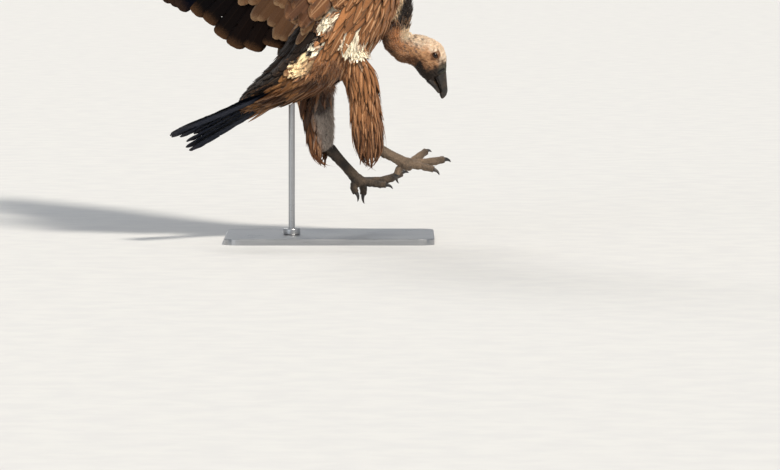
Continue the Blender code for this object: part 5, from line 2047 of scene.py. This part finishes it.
class VultureColours(bpy.types.PropertyGroup):
    brown: colour_property("Brown", "Middle tone of the body feathers", 168, 113, 70)
    dark_brown: colour_property("Dark brown", "Deep tone of the body feathers", 98, 62, 38)
    # umber is the dark plumage of the rump and the base of the painted shade in the hollows
    umber: colour_property("Umber", "Darkest plumage, of rump and hollows", 46, 29, 17)
    streak: colour_property("Streak", "Pale streaks of the body feathers", 216, 166, 122)
    cream: colour_property("Cream", "Down beside the vent", 250, 222, 174)
    white: colour_property("White", "Down of the flank and knee", 255, 244, 218)
    grey_down: colour_property("Grey down", "Down inside the legs", 196, 182, 170)
    rusty: colour_property("Rusty", "Warm tone of breast and ruff", 172, 108, 60)
    flight: colour_property("Flight", "Black of the flight feathers", 11, 10, 12)
    # the blue cast laid on the black feathers is painted reflection of the sky
    flight_black_sky_reflection: colour_property("Flight blue", "Blue cast of the black", 13, 19, 38)
    covert: colour_property("Coverts", "Wing coverts and scapulars", 160, 114, 76)
    covert_edge: colour_property("Covert edge", "Pale rims of the coverts", 206, 164, 120)
    head_cream: colour_property("Head cream", "Down of the crown", 246, 224, 198)
    head_tan: colour_property("Head tan", "Sides of the head", 210, 160, 116)
    face_dark: colour_property("Face", "Dark skin of the face and chin", 52, 38, 28)
    iris: colour_property("Iris", "Iris of the eyes", 76, 44, 26)
    bill: colour_property("Bill", "Horn of the bill", 20, 14, 10)
    bill_worn: colour_property("Worn bill", "Worn horn of the bill", 60, 45, 30)
    leg_dark: colour_property("Dark leg", "Dark skin of the legs", 50, 41, 34)
    leg_pale: colour_property("Pale leg", "Pale skin of the feet", 150, 126, 102)
    claw: colour_property("Claw", "Horn of the claws", 26, 23, 22)
    claw_worn: colour_property("Worn claw", "Worn horn of the claws", 70, 62, 56)


class VultureSkin(bpy.types.PropertyGroup):
    body_depth: FloatProperty(
        name="Coat depth", description="How far the skin lies under the body plumage",
        default=0.0085, min=0.0, subtype="DISTANCE", unit="LENGTH")


class VulturePlumage(bpy.types.PropertyGroup):
    spacing: FloatProperty(
        name="Spacing", description="Distance between the roots of body feathers",
        default=0.0100, min=0.003, subtype="DISTANCE", unit="LENGTH")
    length: FloatProperty(
        name="Length", description="Length of the breast and flank feathers",
        default=0.052, min=0.005, subtype="DISTANCE", unit="LENGTH")
    lift: FloatProperty(
        name="Lift", description="How far the tips of body feathers stand off the skin",
        default=0.0095, min=0.0, subtype="DISTANCE", unit="LENGTH")


class VultureStage(bpy.types.PropertyGroup):
    key: FloatProperty(name="Key light", description="Power of the warm main light",
                       default=3.3, min=0.0)
    sky: FloatProperty(name="Sky", description="Strength of the surrounding light",
                       default=0.40, min=0.0)
    lens: FloatProperty(name="Lens", description="Focal length of the camera in millimetres",
                        default=288.0, min=1.0, subtype="DISTANCE_CAMERA")
    camera_tilt: FloatProperty(name="Camera tilt", description="How far the camera looks down",
                               default=math.radians(3.5), subtype="ANGLE", unit="ROTATION")


class VULTURE_OT_skin(bpy.types.Operator):
    """One skin for the head, neck, body, thighs and wing arms"""
    bl_idname = "vulture.skin"
    bl_label = "Skin"

    def execute(self, context):
        make_skin(context.scene.vulture_skin)
        return {"FINISHED"}


class VULTURE_OT_bill(bpy.types.Operator):
    """Hooked bill in two halves"""
    bl_idname = "vulture.bill"
    bl_label = "Bill"

    def execute(self, context):
        make_bill()
        return {"FINISHED"}


class VULTURE_OT_eyes(bpy.types.Operator):
    """Dark wet eyes"""
    bl_idname = "vulture.eyes"
    bl_label = "Eyes"

    def execute(self, context):
        make_eyes()
        return {"FINISHED"}


class VULTURE_OT_legs(bpy.types.Operator):
    """Scaly legs and feet, and their claws"""
    bl_idname = "vulture.legs"
    bl_label = "Legs and claws"

    def execute(self, context):
        make_legs()
        return {"FINISHED"}


class VULTURE_OT_body_plumage(bpy.types.Operator):
    """Feathers of the trunk, shoulders, thighs and ruff"""
    bl_idname = "vulture.body_plumage"
    bl_label = "Body plumage"

    def execute(self, context):
        settings = context.scene.vulture_plumage
        make_trunk_plumage(settings)
        make_long_plumes()
        make_trousers(settings)
        make_ruff()
        make_loose_down()
        return {"FINISHED"}


class VULTURE_OT_head_down(bpy.types.Operator):
    """Short down of the head and neck"""
    bl_idname = "vulture.head_down"
    bl_label = "Head down"

    def execute(self, context):
        make_head_down()
        return {"FINISHED"}


class VULTURE_OT_wings(bpy.types.Operator):
    """Flight feathers and coverts of both wings"""
    bl_idname = "vulture.wings"
    bl_label = "Wings"

    def execute(self, context):
        for word in SIDES:
            make_flight(word)
            make_coverts(word)
        return {"FINISHED"}


class VULTURE_OT_tail(bpy.types.Operator):
    """Tail feathers and their coverts"""
    bl_idname = "vulture.tail"
    bl_label = "Tail"

    def execute(self, context):
        make_tail()
        return {"FINISHED"}


class VULTURE_OT_stand(bpy.types.Operator):
    """Steel base, collar and rod"""
    bl_idname = "vulture.stand"
    bl_label = "Stand"

    def execute(self, context):
        make_stand()
        return {"FINISHED"}


class VULTURE_OT_stage(bpy.types.Operator):
    """Floor, studio light and camera"""
    bl_idname = "vulture.stage"
    bl_label = "Stage"

    def execute(self, context):
        make_stage(context.scene.vulture_stage)
        return {"FINISHED"}


OPERATORS = (
    VULTURE_OT_skin, VULTURE_OT_bill, VULTURE_OT_eyes, VULTURE_OT_legs,
    VULTURE_OT_body_plumage, VULTURE_OT_head_down, VULTURE_OT_wings, VULTURE_OT_tail,
    VULTURE_OT_stand, VULTURE_OT_stage,
)


class VULTURE_PT_panel(bpy.types.Panel):
    """Lists the pieces of the bird and their sizes"""
    bl_idname = "VULTURE_PT_panel"
    bl_label = "Vulture"
    bl_space_type = "VIEW_3D"
    bl_region_type = "UI"
    bl_category = "Vulture"

    def draw(self, context):
        layout = self.layout
        for operator in OPERATORS:
            layout.operator(operator.bl_idname)
        for name, group in GROUPS.items():
            box = layout.box()
            for key in group.__annotations__:
                box.prop(getattr(context.scene, name), key)


GROUPS = {"vulture_colours": VultureColours, "vulture_skin": VultureSkin,
          "vulture_plumage": VulturePlumage, "vulture_stage": VultureStage}
CLASSES = (*GROUPS.values(), *OPERATORS, VULTURE_PT_panel)


def register():
    for item in CLASSES:
        bpy.utils.register_class(item)
    for name, group in GROUPS.items():
        setattr(bpy.types.Scene, name, PointerProperty(type=group))


def unregister():
    for name in GROUPS:
        delattr(bpy.types.Scene, name)
    for item in reversed(CLASSES):
        bpy.utils.unregister_class(item)


def main():
    register()
    for operator in OPERATORS:
        group, name = operator.bl_idname.split(".")
        getattr(getattr(bpy.ops, group), name)()


if __name__ == "__main__":
    main()
